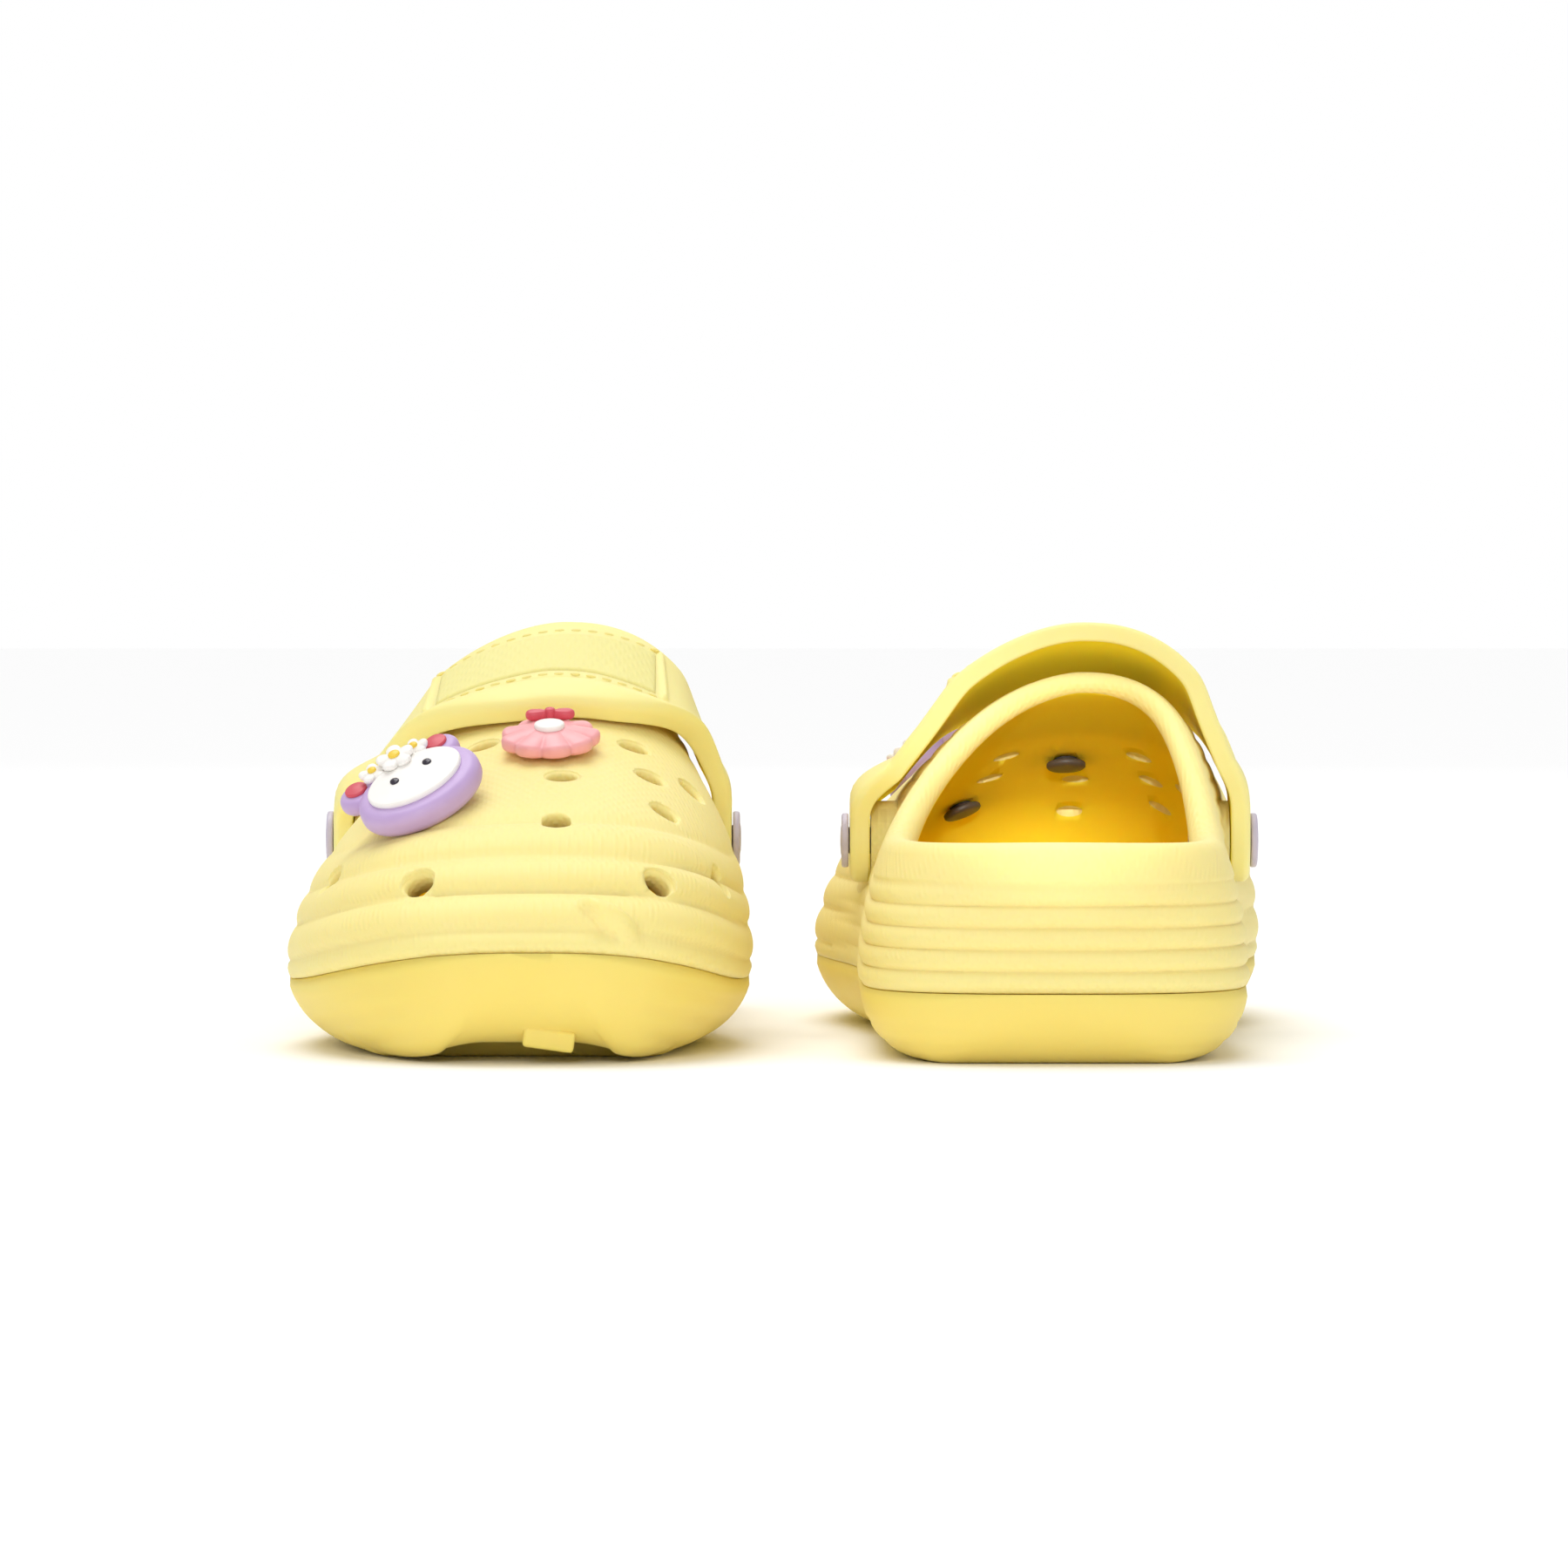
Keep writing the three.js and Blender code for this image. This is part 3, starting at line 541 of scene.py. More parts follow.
# flat bearings under the strap's ends, from the clog's centre; each stands off the dome by its lift
seatLift = {-1: 1.8, 1: -0.2}
seats = {side: side * domeX(rivetStation, side, rivetHeight) + seatLift[side] for side in (-1, 1)}


# raised or sunk height of the moulded relief at a point of the outside
def relief(s, x, z):
    back = ease((s - upperSet["blendFrom"]) / (upperSet["blendTo"] - upperSet["blendFrom"]))
    above = z - seamZ(s)
    lift = 0.0
    if back < 1:
        scale = 1 - upperSet["pillowTaper"] * clamp(s / clog["seamRun"])
        level = 0.0
        creases = upperSet["creases"]
        for i, rise in enumerate(upperSet["pillowRise"]):
            t = (above / scale - creases[i]) / (creases[i + 1] - creases[i])
            if 0 < t < 1:
                level = rise * (math.sin(math.pi * t ** 0.85) ** 0.65 - upperSet["pillowLevel"])
        if above / scale >= creases[-1]:
            past = above / scale - creases[-1]
            level = -upperSet["pillowLevel"] * upperSet["pillowRise"][-1] * math.exp(-past / 2.5)
        lift += level * (1 - back) * mix(0.45, 1, ease((80 - s) / 60))
    if back > 0:
        roll = rimZ(s) - z
        phase = (z - clog["seamHeel"]) / upperSet["ribPitch"]
        wave = abs(math.sin(math.pi * phase)) ** 0.55 - 0.75
        near = ease((roll - upperSet["rimRoll"] + 1.2) / 2.4)
        side = ease((s - 150) / 30)
        lift += upperSet["ribDeep"] * wave * near * back * mix(0.55, 1, side)
        lift += 0.35 * (1 - near) * back
    if s < upperSet["leafEnd"]:
        leafX, leafZ, half, halfWide, rise = upperSet["leaf"]
        along, down = upperSet["leafAxis"]
        u = (x - leafX) * along - (z - leafZ) * down
        v = (x - leafX) * down + (z - leafZ) * along
        wide = mix(0.5, 1, clamp(0.5 + u / half / 2)) * halfWide
        lift += rise * math.sqrt(max(0.0, 1 - (u / half) ** 2 - (v / wide) ** 2))
    foot = math.exp(-(above / 1.1) ** 2)
    return lift * (1 - 0.6 * foot) - 0.5 * foot


def surfaceNormal(s, x):
    step = 0.5
    slopeX = (domeZ(s, x + step) - domeZ(s, x - step)) / (2 * step)
    slopeY = (domeZ(s + step, x) - domeZ(s - step, x)) / (2 * step)
    return Vector((-slopeX, -slopeY, 1)).normalized()


# the place of a charm or a vent on the vamp, its Z along the surface's own outward direction
def surfaceFrame(x, s):
    normal = surfaceNormal(s, x)
    turn = Vector((0, 0, 1)).rotation_difference(normal).to_matrix().to_4x4()
    return Matrix.Translation((x, toY(s), domeZ(s, x))) @ turn


def outlineFeet(count):
    half = 900
    fine = []
    for i in range(half):
        s = clog["length"] * (1 - math.cos(math.pi * i / half)) / 2
        fine.append(Vector((edgeX(s, -1), s)))
    for i in range(half, 0, -1):
        s = clog["length"] * (1 - math.cos(math.pi * i / half)) / 2
        fine.append(Vector((edgeX(s, 1), s)))
    fine.append(fine[0])
    return evenly(fine, count)[:count]


def outsideRun(foot, steps):
    centre = Vector((upperSet["openingX"], mix(clog["rimStation"], clog["length"], upperSet["openingShare"])))
    low, high = 0.0, 1.0
    for _ in range(34):
        q = (low + high) / 2
        p = foot.lerp(centre, q)
        if domeZ(p.y, p.x) < rimZ(p.y):
            low = q
        else:
            high = q
    samples = []
    fine = 150
    for i in range(fine + 1):
        p = foot.lerp(centre, low * (i / fine) ** 3)
        samples.append(Vector((p.x, toY(p.y), seamZ(p.y) if i == 0 else domeZ(p.y, p.x))))
    return evenly(samples, steps)


# one closed ring of points: up the outside, over the lip, down the inside
def upperRings():
    rings, steps = upperSet["rings"], upperSet["steps"]
    runs = [outsideRun(foot, steps) for foot in outlineFeet(rings)]
    half = clog["length"] / 2
    sections = []
    for i, run in enumerate(runs):
        before, after = runs[i - 1], runs[(i + 1) % rings]
        outside, inside = [], []
        for j, point in enumerate(run):
            around = after[j] - before[j]
            upward = (run[min(j + 1, steps)] - run[max(j - 1, 0)]).normalized()
            out = upward.cross(around).normalized()
            s = point.y + half
            inner = point - out * wallAt(s)
            outer = point + out * relief(s, point.x, point.z)
            if j == 0:
                outer.z = seamZ(s) + upperSet["seamGap"]
                inner.z = seamZ(inner.y + half) + upperSet["seamGap"]
            outside.append(outer)
            inside.append(inner)
        lip = []
        middle = (outside[-1] + inside[-1]) / 2
        spoke = outside[-1] - middle
        for k in range(1, upperSet["lipSteps"] + 1):
            angle = math.pi * k / (upperSet["lipSteps"] + 1)
            lip.append(middle + spoke * math.cos(angle) + upward * math.sin(angle) * spoke.length)
        sections.append(outside + lip + evenly(inside[::-1], upperSet["insideSteps"]))
    return sections


def ventCutter(x, s, radius):
    lipRound = 0.9
    profile = [(0, -14), (radius, -14), (radius, -lipRound - 0.6)]
    for k in range(7):
        angle = math.pi / 2 * k / 6
        profile.append((radius + lipRound * (1 - math.cos(angle)), -lipRound - 0.6 + lipRound * math.sin(angle) * 1.3))
    profile += [(radius + lipRound + 0.3, 1.6), (0, 1.6)]
    bm = spunShape(profile, 28)
    bmesh.ops.transform(bm, matrix=surfaceFrame(x, s), verts=bm.verts)
    return bm


def cylinderX(radius, x0, x1, s, z, bevelSize=0.0):
    low, high = min(x0, x1), max(x0, x1)
    profile = [(0, low), (radius - bevelSize, low), (radius, low + bevelSize),
               (radius, high - bevelSize), (radius - bevelSize, high), (0, high)]
    bm = spunShape(profile, 48)
    bmesh.ops.rotate(bm, cent=(0, 0, 0), matrix=Matrix.Rotation(math.pi / 2, 3, "Y"), verts=bm.verts)
    bmesh.ops.translate(bm, vec=(0, toY(s), z), verts=bm.verts)
    return bm


def upperShape():
    sections = upperRings()
    around, across = len(sections), len(sections[0])
    bm = shapedGrid(around, across, lambda i, j: sections[i % around][j % across])
    bmesh.ops.recalc_face_normals(bm, faces=bm.faces)
    first = upperSet["steps"] + upperSet["lipSteps"]
    # the inside faces take the deeper yellow of the painted inside glow
    markInner(bm, [point for ring in sections for point in ring[first:]])
    cutters = [ventCutter(x, s, upperSet["ventRadius"]) for x, s in upperSet["vents"]]
    cutters += [ventCutter(x, s, upperSet["plugHole"]) for x, s in upperSet["charmVents"]]
    for side, plane in seats.items():
        inner = side * (plane - upperSet["rivetWall"])
        pad = cylinderX(upperSet["padCore"], inner, side * plane, rivetStation, rivetHeight)
        bm = combine(bm, pad, "UNION")
        cutters.append(cylinderX(upperSet["padRadius"], side * plane, side * 62, rivetStation, rivetHeight))
        cutters.append(cylinderX(upperSet["socketRadius"], inner, inner - side * 15, rivetStation, rivetHeight))
        cutters.append(cylinderX(upperSet["boreRadius"], inner - side * 9, side * 58, rivetStation, rivetHeight))
    for cutter in cutters:
        bm = combine(bm, cutter, "DIFFERENCE")
    return bm


upperBody = upperShape()
print("upper faces", len(upperBody.faces))
for side in ("right", "left"):
    finishPiece(upperBody.copy(), side, "clogUpper", upperFoam, ["upper"], "foam_upper", insideGlow=insideGlowFoam)
print("uppers")


# the sole: a loft from toe to heel with corner lobes in front and a tread underneath
soleSet = {
    "rows": 300, "corner": 18, "flatShare": 0.68, "spring": 4.5, "springRun": 42, "underRun": 12,
    "lobeFrom": 9, "lobeRun": 22, "lobeShare": 0.88, "treadFrom": 32, "treadTo": 234,
    "lean": 0.13, "ridge": 0.9, "ridgePitch": 5.2, "treadPitch": 8.5, "treadDeep": 1.5, "treadEdge": 33,
    "gate": {"size": (11, 5, 4.4), "place": (8.5, 7.5, 5.4), "bevel": 0.8, "lean": 8},
    "flats": 44, "seamGap": 0.15, "heelLines": (8.0, 3.5),
}


def soleBottom(s, x):
    spring = soleSet["spring"] * (1 - clamp(s / soleSet["springRun"])) ** 2
    spring = max(spring, soleSet["spring"] * ease((soleSet["treadFrom"] + 1.5 - s) / 3))
    spring *= 1 - soleSet["lobeShare"] * ease((abs(x) - soleSet["lobeFrom"]) / soleSet["lobeRun"])
    if soleSet["treadFrom"] < s < soleSet["treadTo"]:
        phase = ((s - abs(x) * 0.35) / soleSet["treadPitch"]) % 1
        groove = ease((0.5 - abs(phase - 0.5)) * -6 + 1) * ease((soleSet["treadEdge"] - abs(x)) / 3)
        ends = ease((s - soleSet["treadFrom"] - 4) / 4) * ease((soleSet["treadTo"] - s) / 4)
        spring += soleSet["treadDeep"] * groove * ends
    heel = arc(1 - (clog["length"] - s) / soleSet["underRun"], 2)
    toe = arc(1 - s / soleSet["underRun"], 2)
    return mix(seamZ(s) - soleSet["seamGap"], spring, heel * toe)


# the moulding gate's cut-off stub, under the toe
def gateShape():
    gate = soleSet["gate"]
    x, s, z = gate["place"]
    bm = bmesh.new()
    bmesh.ops.create_cube(bm, size=1)
    bmesh.ops.scale(bm, vec=gate["size"], verts=bm.verts)
    bmesh.ops.bevel(bm, geom=bm.edges[:], offset=gate["bevel"], segments=3, profile=0.5, affect="EDGES")
    bmesh.ops.rotate(bm, cent=(0, 0, 0), matrix=Matrix.Rotation(math.radians(gate["lean"]), 3, "Y"), verts=bm.verts)
    bmesh.ops.translate(bm, vec=(x, toY(s), z), verts=bm.verts)
    return bm


def soleShape():
    rows, corner = soleSet["rows"], soleSet["corner"]
    flats = soleSet["flats"]
    sections = []
    for i in range(rows + 1):
        t = mix(0.012, 0.988, i / rows)
        s = clog["length"] * (1 - math.cos(math.pi * t)) / 2
        top = seamZ(s) - soleSet["seamGap"]
        flat = soleSet["flatShare"] * halfWidth(s)
        ring = []
        for side in (-1, 1):
            wall = []
            for k in range(corner + 1):
                angle = math.pi / 2 * k / corner
                x = flat + (halfWidth(s) - flat) * math.cos(angle) ** 0.8
                z = mix(top, soleBottom(s, x), math.sin(angle) ** 0.8)
                deep = clamp((top - z) / top)
                x *= 1 - soleSet["lean"] * deep ** 1.3 * mix(0.45, 1, ease((110 - s) / 60))
                nearCorner = ease(s / 12) * ease((75 - s) / 40)
                wave = abs(math.sin(math.pi * (top - z) / soleSet["ridgePitch"])) ** 0.7
                x -= soleSet["ridge"] * nearCorner * (1 - wave)
                edge = math.exp(-((top - z) / 1.0) ** 2)
                x -= 0.55 * edge
                back = ease((s - 130) / 60)
                for line in soleSet["heelLines"]:
                    x -= 0.45 * back * math.exp(-((z - line) / 0.55) ** 2)
                wall.append(Vector((centreX(s) + side * x, toY(s), z)))
            ring.append(wall)
        left, right = ring
        under = []
        for k in range(1, flats):
            x = mix(left[-1].x, right[-1].x, k / flats)
            under.append(Vector((x, toY(s), soleBottom(s, x - centreX(s)))))
        over = [Vector((mix(right[0].x, left[0].x, k / flats), toY(s), top)) for k in range(1, flats)]
        sections.append(left + under + right[::-1] + over)
    return combine(loftShape(sections), gateShape(), "UNION")


soleBody = soleShape()
for side in ("right", "left"):
    finishPiece(soleBody.copy(), side, "clogSole", soleFoam, ["sole"], "foam_sole")
print("soles")


# footbed: a dished foam bed with rows of small raised nubs
bedSet = {"rows": 150, "across": 60, "inset": 8.7, "clearance": 1.2, "thick": 3.5, "dish": 1.2,
          "nubPitch": 6.5, "nubRise": 0.5, "lift": 0.3, "edgeDrop": 0.8, "draft": 0.6}


def bedShape():
    rows, across = bedSet["rows"], bedSet["across"]
    length, inset = clog["length"], bedSet["inset"]
    sections = []
    for i in range(rows + 1):
        t = (1 - math.cos(math.pi * mix(0.04, 0.96, i / rows))) / 2
        s = mix(inset, length - inset, t)
        reach = max(1, min(halfWidth(s), halfWidth(length * t)) - wallAt(s) - bedSet["clearance"])
        base = seamZ(s) + bedSet["lift"]
        ring = [Vector((centreX(s) + mix(-1, 1, k / across) * reach, toY(s), base)) for k in range(across + 1)]
        for k in range(across, -1, -1):
            c = mix(-1, 1, k / across)
            x = centreX(s) + c * (reach - bedSet["draft"])
            row = round(s / bedSet["nubPitch"])
            ds = s - row * bedSet["nubPitch"]
            dx = (x / bedSet["nubPitch"] + 0.5 * (row % 2) + 0.5) % 1 - 0.5
            nub = ease(1.8 - 2.2 * math.hypot(ds, dx * bedSet["nubPitch"]) / 2.2)
            edge = ease((1 - abs(c)) * reach / 3)
            z = base + bedSet["thick"] - bedSet["dish"] * (1 - c * c) + nub * bedSet["nubRise"] * edge
            z -= bedSet["edgeDrop"] * (1 - edge)
            ring.append(Vector((x, toY(s), z)))
        sections.append(ring)
    return loftShape(sections)


bedBody = bedShape()
for side in ("right", "left"):
    finishPiece(bedBody.copy(), side, "clogFootbed", bedGlowFoam, ["footbed"], "foam_footbed")
print("footbeds")


# the strap: a band over the instep, a round boss on each rivet, ribs beside the label
strapSet = {
    "thick": 4.5, "frontLift": 0.8, "rearLift": 7.5, "front": 93, "rear": 130, "boss": 9.5, "gap": 0.3,
    "blendRun": {-1: 7, 1: 9}, "sideLift": 1, "widening": 1.15, "bossClearance": 2.5, "along": 230, "across": 44,
    "bossRows": 26, "wallRows": 4, "outerRound": 1.7, "innerRound": 0.7,
    "ribs": (-0.5, 0.37), "ribRise": 0.9, "rollRise": 1.3, "creaseSide": 0.1, "creaseMiddle": 0.3,
    "frontOff": 1.5, "rearOff": {-1: 3.0, 1: 1.0}, "offTo": 0.2, "offRun": 0.35,
    "bore": 3.3, "insideGlowInset": 4,
}


# where the crease under the label crosses the strap: an arch, furthest back in the middle
def creaseAt(along):
    bow = max(0.0, 1 - ((along + 0.065) / 0.47) ** 2)
    return mix(strapSet["creaseSide"], strapSet["creaseMiddle"], bow)


def strapUnderside(along, across):
    side = -1 if along < 0 else 1
    climb = 1 - abs(along)
    widen = ease(climb * strapSet["widening"])
    front = mix(rivetStation - strapSet["boss"], strapSet["front"], widen)
    rear = mix(rivetStation + strapSet["boss"], strapSet["rear"], widen)
    s = mix(front, rear, across)
    under = min(s, clog["rimStation"])
    base = seamZ(s)
    t = (s - strapSet["front"]) / (strapSet["rear"] - strapSet["front"])
    crown = domeTop(under) + mix(strapSet["frontLift"], strapSet["rearLift"], t) - base
    power = archPower(under, side)
    first = math.asin(((rivetHeight - base) / crown) ** (power / 2))
    angle = mix(first, math.pi / 2, climb)
    z = base + crown * math.sin(angle) ** (2 / power)
    reach = abs(edgeX(under, side) - ridgeX(under)) + strapSet["sideLift"]
    arched = ridgeX(under) + side * reach * max(0, math.cos(angle)) ** (2 / power)
    far = math.hypot(s - rivetStation, z - rivetHeight)
    flat = side * (seats[side] + strapSet["gap"])
    off = side * (arched - domeX(under, side, z))
    close = min(off, mix(strapSet["frontOff"], strapSet["rearOff"][side], across))
    arched = domeX(under, side, z) + side * mix(close, off, ease((climb - strapSet["offTo"]) / strapSet["offRun"]))
    x = mix(flat, arched, ease((far - strapSet["boss"]) / strapSet["blendRun"][side]))
    if far >= strapSet["boss"] + strapSet["bossClearance"]:
        x = side * max(side * x, side * domeX(under, side, z) + strapSet["gap"])
    return Vector((x, toY(s), z))


def strapOutward(along, across):
    if abs(along) == 1:
        return Vector((math.copysign(1, along), 0, 0))
    step = 0.01
    lengthways = strapUnderside(min(1, along + step), across) - strapUnderside(max(-1, along - step), across)
    sideways = strapUnderside(along, min(1, across + step)) - strapUnderside(along, max(0, across - step))
    return lengthways.cross(sideways).normalized()


# moulded relief of the strap's top: two ribs beside the label, a rolled front margin and its crease
def strapRelief(along, across):
    lift = 0.0
    for rib in strapSet["ribs"]:
        lean = rib + math.copysign(0.03, rib) * (0.5 - across)
        ends = ease((across - 0.15) / 0.06) * ease((0.92 - across) / 0.06)
        lift += strapSet["ribRise"] * math.exp(-((along - lean) / 0.014) ** 4) * ends
    span = ease((0.85 - abs(along)) / 0.3)
    crease = creaseAt(along)
    lift += strapSet["rollRise"] * span * math.sin(math.pi * clamp(across / crease)) ** 0.8
    lift -= 0.5 * span * math.exp(-((across - crease) / 0.014) ** 2)
    lift -= 0.25 * math.exp(-((across - 0.93) / 0.012) ** 2) * span
    return lift


def softEdge(distance, radius):
    if distance >= radius:
        return 0.0
    return radius - math.sqrt(max(0.0, radius ** 2 - (radius - distance) ** 2))


# one ring of the strap from its outline distance at each step across
def strapRing(place, distance, relief):
    across, walls = strapSet["across"], strapSet["wallRows"]
    inner, outer = [], []
    for k in range(across + 1):
        a = (1 - math.cos(math.pi * k / across)) / 2
        near = distance(a)
        inner.append(place(a, softEdge(near, strapSet["innerRound"])))
        outer.append(place(a, strapSet["thick"] - softEdge(near, strapSet["outerRound"]) + relief(a)))
    rear = [inner[-1].lerp(outer[-1], k / walls) for k in range(1, walls)]
    front = [outer[0].lerp(inner[0], k / walls) for k in range(1, walls)]
    return inner + rear + outer[::-1] + front


def bandRing(along):
    width = (strapUnderside(along, 1) - strapUnderside(along, 0)).length

    def place(a, out):
        return strapUnderside(along, a) + strapOutward(along, a) * out

    ends = ease((1 - abs(along)) / 0.1)
    return strapRing(place, lambda a: min(a, 1 - a) * width, lambda a: strapRelief(along, a) * ends)


def bossRing(side, angle):
    half = strapSet["boss"] * math.sin(angle)
    z = rivetHeight - strapSet["boss"] * math.cos(angle)

    def place(a, out):
        s = rivetStation + mix(-half, half, a)
        return Vector((side * (seats[side] + strapSet["gap"] + out), toY(s), z))

    def distance(a):
        return max(0.0, strapSet["boss"] - math.hypot(mix(-half, half, a), z - rivetHeight))

    return strapRing(place, distance, lambda a: 0.0)


def strapShape():
    rows = strapSet["bossRows"]
    angles = [math.pi / 2 * k / rows for k in range(rows)]
    sections = [bossRing(-1, angle) for angle in angles]
    sections += [bandRing(mix(-1, 1, i / strapSet["along"])) for i in range(strapSet["along"] + 1)]
    sections += [bossRing(1, angle) for angle in angles[::-1]]
    bm = loftShape(sections)
    # the strap's underside, short of its edges, takes the deeper yellow of the painted glow
    inset = strapSet["insideGlowInset"]
    markInner(bm, [point for ring in sections for point in ring[inset:strapSet["across"] + 1 - inset]])
    for side in (-1, 1):
        ends = (side * (seats[side] - 5), side * (seats[side] + 14))
        bore = cylinderX(strapSet["bore"], *ends, rivetStation, rivetHeight)
        bm = combine(bm, bore, "DIFFERENCE")
    return bm


strapBody = strapShape()
for side in ("right", "left"):
    finishPiece(strapBody.copy(), side, "clogStrap", strapFoam, ["strap"], "foam_strap", True, insideGlowFoam)
print("straps")


# the label patch and the stitches above and below it
labelSet = {
    "from": -0.468, "to": 0.338, "margin": 0.075, "rear": 0.82, "rise": 0.55, "sink": 0.4, "lineOver": 0.02,
    "stitch": 2.3, "stitchGap": 1.5, "threadRadius": 0.42, "stitchMargin": 0.035, "stitchRear": 0.87,
}


def labelShape():
    rows, across = 90, 40
    sections = []
    for i in range(rows + 1):
        along = mix(labelSet["from"], labelSet["to"], i / rows)
        end = clamp(min(i, rows - i) / rows * 22)
        ring = []
        front = creaseAt(along) + labelSet["margin"]
        for k in range(across + 1):
            a = mix(front, labelSet["rear"], k / across)
            ring.append(strapUnderside(along, a) + strapOutward(along, a) * (strapSet["thick"] - labelSet["sink"]))
        for k in range(across, -1, -1):
            a = mix(front, labelSet["rear"], k / across)
            edge = clamp(min(k, across - k) / across * 16)
            out = strapSet["thick"] + labelSet["rise"] * math.sqrt(max(0, 1 - (1 - min(end, edge)) ** 2))
            ring.append(strapUnderside(along, a) + strapOutward(along, a) * out)
        sections.append(ring)
    return loftShape(sections)


def stitchShape():
    parts = []
    for lower in (True, False):
        steps = 400
        line = []
        for i in range(steps + 1):
            along = mix(labelSet["from"] - labelSet["lineOver"], labelSet["to"] + labelSet["lineOver"], i / steps)
            across = creaseAt(along) + labelSet["stitchMargin"] if lower else labelSet["stitchRear"]
            out = strapSet["thick"] + strapRelief(along, across)
            line.append(strapUnderside(along, across) + strapOutward(along, across) * out)
        total = sum((line[i + 1] - line[i]).length for i in range(steps))
        count = round(total / (labelSet["stitch"] + labelSet["stitchGap"]))
        spots = evenly(line, count)
        for near, far in zip(spots, spots[1:]):
            along = (far - near).normalized()
            bm = bmesh.new()
            bmesh.ops.create_uvsphere(bm, u_segments=8, v_segments=6, radius=labelSet["threadRadius"])
            bmesh.ops.scale(bm, vec=(1, 1, labelSet["stitch"] / 2 / labelSet["threadRadius"]), verts=bm.verts)
            turn = Vector((0, 0, 1)).rotation_difference(along).to_matrix().to_4x4()
            bmesh.ops.transform(bm, matrix=Matrix.Translation((near + far) / 2) @ turn, verts=bm.verts)
            parts.append(bm)
    return joinShapes(parts)


labelBody = labelShape()
stitchBody = stitchShape()
for side in ("right", "left"):
    finishPiece(labelBody.copy(), side, "strapLabel", labelFoam, ["strap_label"], "label_weave", True)
    finishPiece(stitchBody.copy(), side, "strapStitches", threadYarn, ["strap_label"], "label_weave", True)
print("labels and stitches")


# snap rivets: a domed button outside and a cupped socket inside
rivetSet = {"shaft": 3, "head": 6.2, "thick": 1.6, "tail": 1.2, "socketDeep": 2.6, "bore": 3.3, "boreDeep": 1.3}


def buttonShape(side):
    under = seats[side] + 0.6 + strapSet["thick"]
    end = seats[side] - upperSet["rivetWall"] - rivetSet["tail"]
    head, shaft, top = rivetSet["head"], rivetSet["shaft"], under + rivetSet["thick"]
    profile = [(0, end), (shaft - 0.4, end), (shaft, end + 0.5), (shaft, under), (head - 0.35, under)]
    profile += [(head - 0.35 + 0.35 * math.sin(a), under + 0.45 - 0.45 * math.cos(a)) for a in (0.5, 1.0, 1.57)]
    profile += [(head - 0.9 + 0.9 * math.cos(a), top - 0.5 + 0.5 * math.sin(a)) for a in (0.3, 0.7, 1.1, 1.57)]
    profile += [(head - 1.7, top), (head - 2.0, top - 0.35), (head - 2.3, top - 0.35), (head - 2.6, top)]
    profile += [(head * 0.45, top + 0.18), (head * 0.2, top + 0.26), (0, top + 0.28)]
    return alongRivet(spunShape(profile, 56), side)


def socketShape(side):
    outer = seats[side] - upperSet["rivetWall"] - 0.3
    low, bore, floor = outer - rivetSet["socketDeep"], rivetSet["bore"], outer - rivetSet["boreDeep"]
    profile = [(0, low), (3.6, low), (5.1, low + 0.15), (5.9, low + 0.6), (6.2, low + 1.1), (6.2, outer - 0.3),
               (5.9, outer), (bore, outer), (bore, floor), (0, floor)]
    return alongRivet(spunShape(profile, 56), side)


# turns a spun rivet piece from Z to the rivet's axis
def alongRivet(bm, side):
    turn = Matrix.Rotation(side * math.pi / 2, 4, "Y")
    place = Matrix.Translation((0, toY(rivetStation), rivetHeight)) @ turn
    bmesh.ops.transform(bm, matrix=place, verts=bm.verts)
    return bm


for word, lean in (("outer", -1), ("inner", 1)):
    for side in ("right", "left"):
        for part, shape in (("Button", buttonShape), ("Socket", socketShape)):
            node = f"rivet_{part.lower()}_{word}"
            finishPiece(shape(lean), side, f"rivet{part}_{word}", rivetPlastic, [node], "rivet_plastic")
print("rivets")


# charms: each shaped flat in its own frame, Z away from the vamp
charmSet = {
    "bear": 14.5, "bearThick": 6, "bearOff": 2.2, "tilt": 0.35, "nod": 0.27, "drop": 2.6,
    "shell": 11, "shellThick": 4.5, "shellOff": 1.2, "ear": 4.6,
    "gap": 0.3, "flange": 4.6, "flangeThick": 1.4, "shaft": 2.5,
}


# a round-edged puck, its top domed, squeezed to an oval
def puck(rx, ry, z0, z1, edge, dome=0.0, x=0.0, y=0.0, steps=64):
    turns = [math.pi / 2 * k / 6 for k in range(7)]
    profile = [(0, z0)]
    profile += [(rx - edge + edge * math.sin(a), z0 + edge - edge * math.cos(a)) for a in turns]
    profile += [(rx - edge + edge * math.cos(a), z1 - edge + edge * math.sin(a)) for a in turns]
    profile += [((rx - edge) * (1 - k / 7), z1 + dome * math.sin(math.pi / 2 * k / 7)) for k in range(1, 8)]
    bm = spunShape(profile, steps)
    bmesh.ops.scale(bm, vec=(1, ry / rx, 1), verts=bm.verts)
    bmesh.ops.translate(bm, vec=(x, y, 0), verts=bm.verts)
    return bm


def plugShape(standOff):
    flange = -(clog["vampWall"] + charmSet["gap"] + 0.6)
    low, r, shaft = flange - charmSet["flangeThick"], charmSet["flange"], charmSet["shaft"]
    top = standOff - charmSet["gap"] + 0.3
    profile = [(0, low - 0.2), (r * 0.6, low - 0.1), (r - 0.4, low), (r, low + 0.4), (r, flange - 0.3),
               (r - 0.3, flange), (shaft + 0.3, flange), (shaft, flange + 0.3), (shaft, top), (0, top)]
    return spunShape(profile, 40)


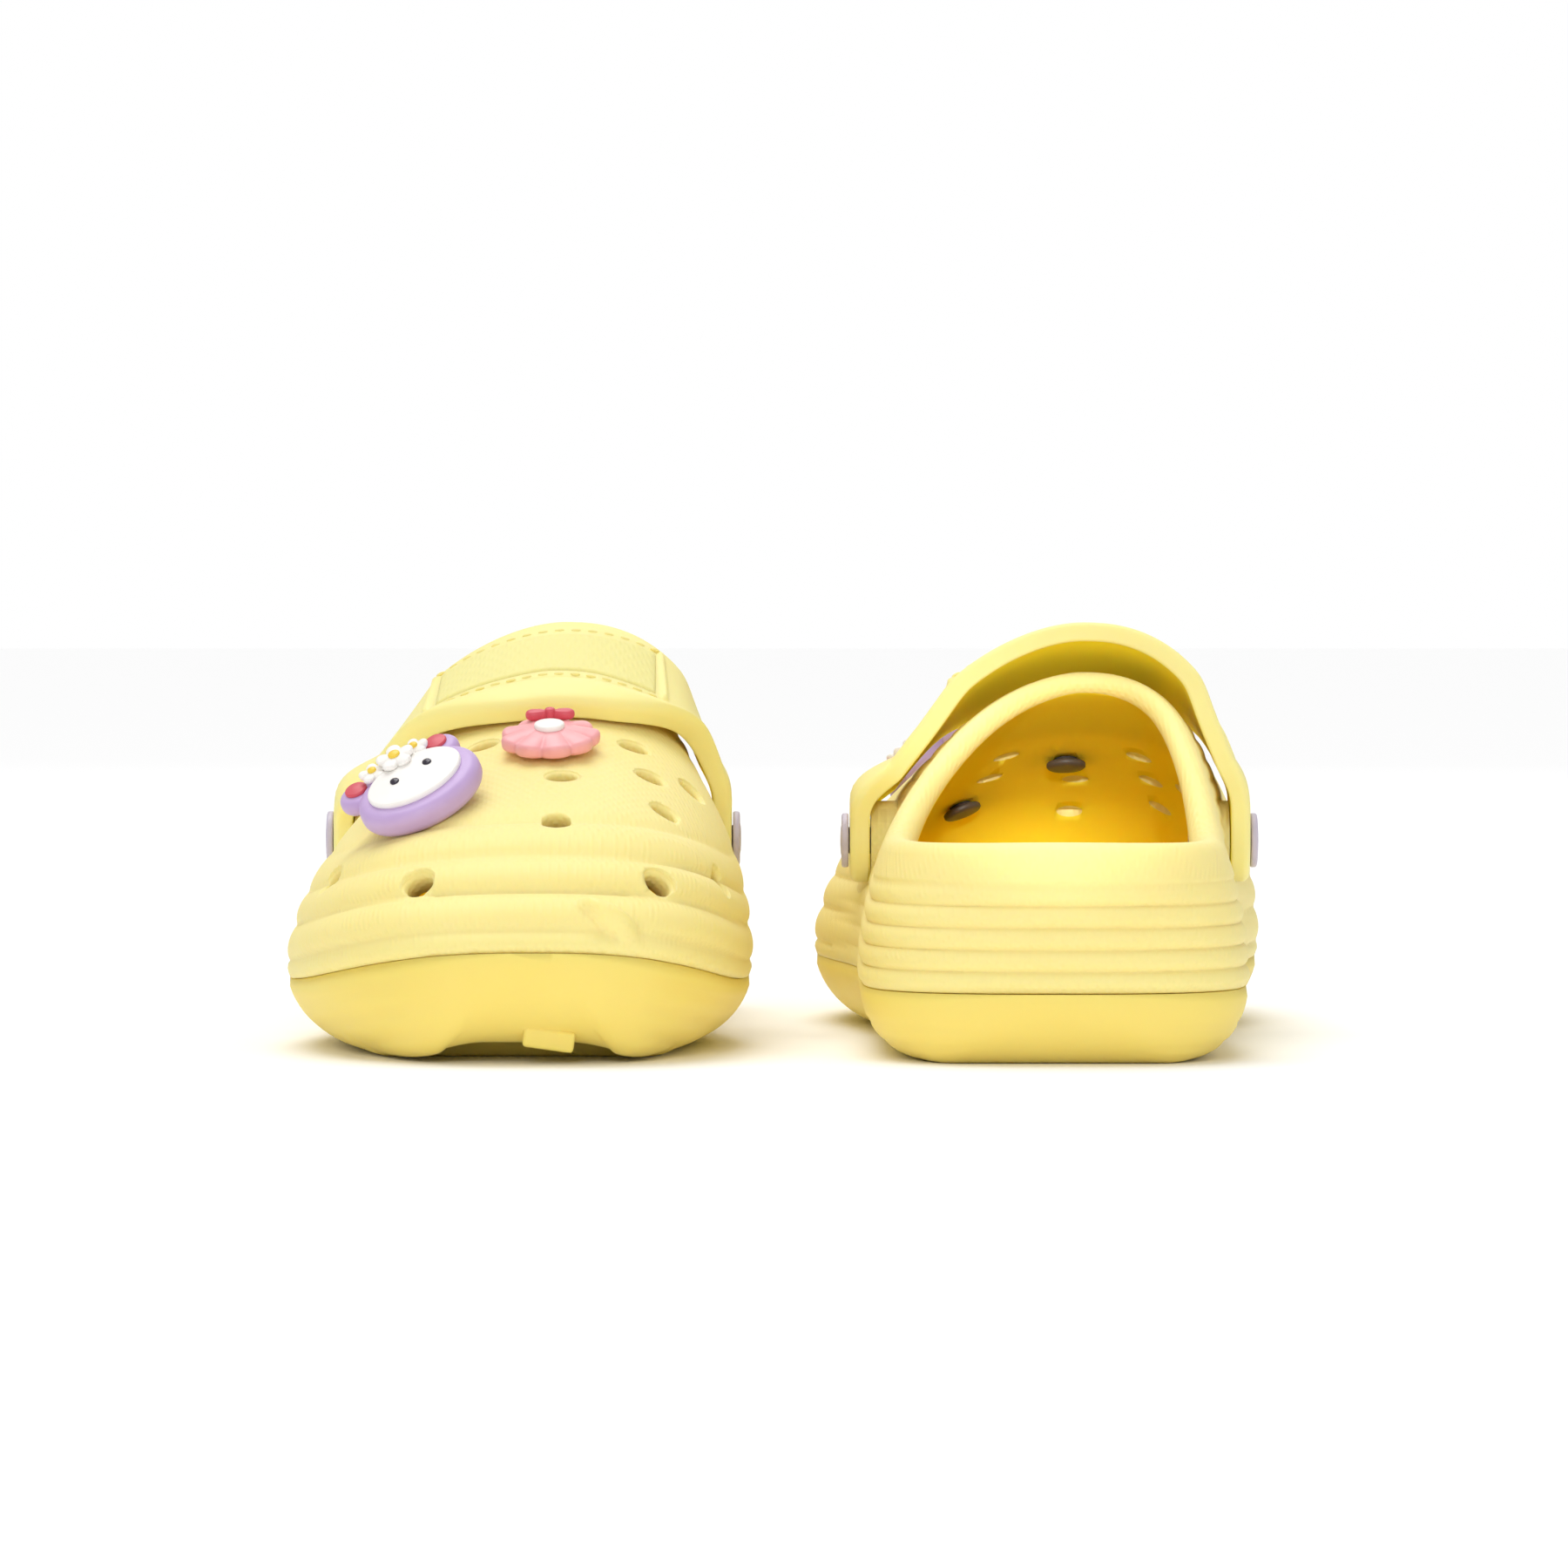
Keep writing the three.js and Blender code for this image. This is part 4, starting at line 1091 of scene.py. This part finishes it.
# spreads a round shape's edge into lobes, raised along each lobe's middle
def makeLobes(bm, lobes, reach, depth, rise, floor):
    for vert in bm.verts:
        radius = math.hypot(vert.co.x, vert.co.y)
        share = clamp(radius / reach)
        swing = abs(math.cos(math.atan2(vert.co.y, vert.co.x) * lobes / 2)) ** 0.7
        grow = 1 + depth * (swing - 0.7) * share ** 3
        vert.co.x *= grow
        vert.co.y *= grow
        if vert.co.z > floor:
            vert.co.z += rise * (swing - 0.6) * ease(share * 1.6 - 0.5)
    return bm


def daisy(radius, x, y, z):
    bm = puck(radius, radius, 0, 1.3, 0.6, 0.2, steps=80)
    makeLobes(bm, 5, radius, 0.42, 0.7, 0.3)
    bmesh.ops.translate(bm, vec=(x, y, z), verts=bm.verts)
    return bm


def bearPieces():
    r, thick, ear = charmSet["bear"], charmSet["bearThick"], charmSet["ear"]
    head = puck(r, r * 0.84, 0, thick, 2.4, 0.5)
    for lean in (-1, 1):
        head = combine(head, puck(ear, ear, 0.4, 4.4, 1.7, 0.2, lean * r * 0.72, r * 0.78, 40), "UNION")
    top = thick + charmSet["gap"] + 1
    face = puck(r * 0.78, r * 0.6, thick - 0.2, top, 0.6, 0.7, 0, 0.4)
    eyes = {lean: puck(1.05, 1.25, top + 0.1, top + 0.95, 0.4, 0.2, lean * 4.2, 1.2, 24) for lean in (-1, 1)}
    pads = {lean: puck(ear * 0.56, ear * 0.56, 4.2, 5.2, 0.45, 0.3, lean * r * 0.72, r * 0.78 + 0.5, 32)
            for lean in (-1, 1)}
    spots = [(0, r * 0.62, top + 0.3, 4.0), (-5.6, r * 0.74, thick, 3.0), (5.2, r * 0.74, thick, 3.0)]
    flowers = joinShapes([daisy(size, x, y, z) for x, y, z, size in spots])
    hearts = joinShapes([puck(size * 0.34, size * 0.34, z + 1.1, z + 2.1, 0.4, 0.2, x, y, 24)
                         for x, y, z, size in spots])
    return [
        ("bearHead", head, lilacVinyl, ["bear_head"], "lilac_vinyl"),
        ("bearFace", face, whiteVinyl, ["bear_face"], "white_vinyl"),
        ("bearEye_outer", eyes[-1], darkVinyl, ["bear_eye_outer"], "dark_vinyl"),
        ("bearEye_inner", eyes[1], darkVinyl, ["bear_eye_inner"], "dark_vinyl"),
        ("bearEarPad_outer", pads[-1], coralVinyl, ["bear_ear_pad_outer"], "coral_vinyl"),
        ("bearEarPad_inner", pads[1], coralVinyl, ["bear_ear_pad_inner"], "coral_vinyl"),
        ("bearFlowers", flowers, whiteVinyl, ["bear_flower"], "white_vinyl"),
        ("bearFlowerHearts", hearts, yolkVinyl, ["bear_flower_eye"], "yolk_vinyl"),
    ]


def shellPieces():
    r, thick = charmSet["shell"], charmSet["shellThick"]
    body = puck(r * 0.98, r * 0.98, 0, thick - 1.6, 1.1, 1.9, steps=144)
    makeLobes(body, 9, r, 0.14, 0.9, 0.6)
    centre = puck(3.4, 3.4, thick - 0.4, thick + 1.1, 0.6, 0.5, 0, -1, 40)
    bow = []
    for lean in (-1, 1):
        wing = puck(2.7, 2.1, thick - 0.5, thick + 1.6, 0.9, 0.2, lean * 2.8, 6.4, 32)
        for vert in wing.verts:
            squeeze = mix(0.45, 1.1, clamp(lean * vert.co.x / 5.4))
            vert.co.y = 6.4 + (vert.co.y - 6.4) * squeeze
        bow.append(wing)
    bow.append(puck(1.2, 1.3, thick - 0.3, thick + 2.1, 0.6, 0.2, 0, 6.4, 24))
    return [
        ("shellBody", body, pinkVinyl, ["shell_body"], "pink_vinyl"),
        ("shellCentre", centre, whiteVinyl, ["shell_centre"], "white_vinyl"),
        ("shellBow", joinShapes(bow), coralVinyl, ["shell_bow"], "coral_vinyl"),
    ]


def charm(spot, standOff, turn, nod, drop, pieces, plugName, plugNode):
    base = surfaceFrame(*spot)
    nodded = Matrix.Translation((0, -drop, standOff)) @ Matrix.Rotation(nod, 4, "X")
    front = base @ nodded @ Matrix.Rotation(turn, 4, "Z")
    placed = [(name, bm, material, nodes, slot, front) for name, bm, material, nodes, slot in pieces]
    placed.append((plugName, plugShape(standOff), shadedPlugPlastic, [plugNode], "plug_plastic", base))
    for name, bm, material, nodes, slot, place in placed:
        bmesh.ops.transform(bm, matrix=place, verts=bm.verts)
        for side in ("right", "left"):
            finishPiece(bm.copy(), side, name, material, nodes, slot)


bearVent, shellVent = upperSet["charmVents"]
charm(bearVent, charmSet["bearOff"], charmSet["tilt"], charmSet["nod"], charmSet["drop"],
      bearPieces(), "bearPlug", "bear_plug")
charm(shellVent, charmSet["shellOff"], 0.0, 0.0, 0.0, shellPieces(), "shellPlug", "shell_plug")
print("charms")
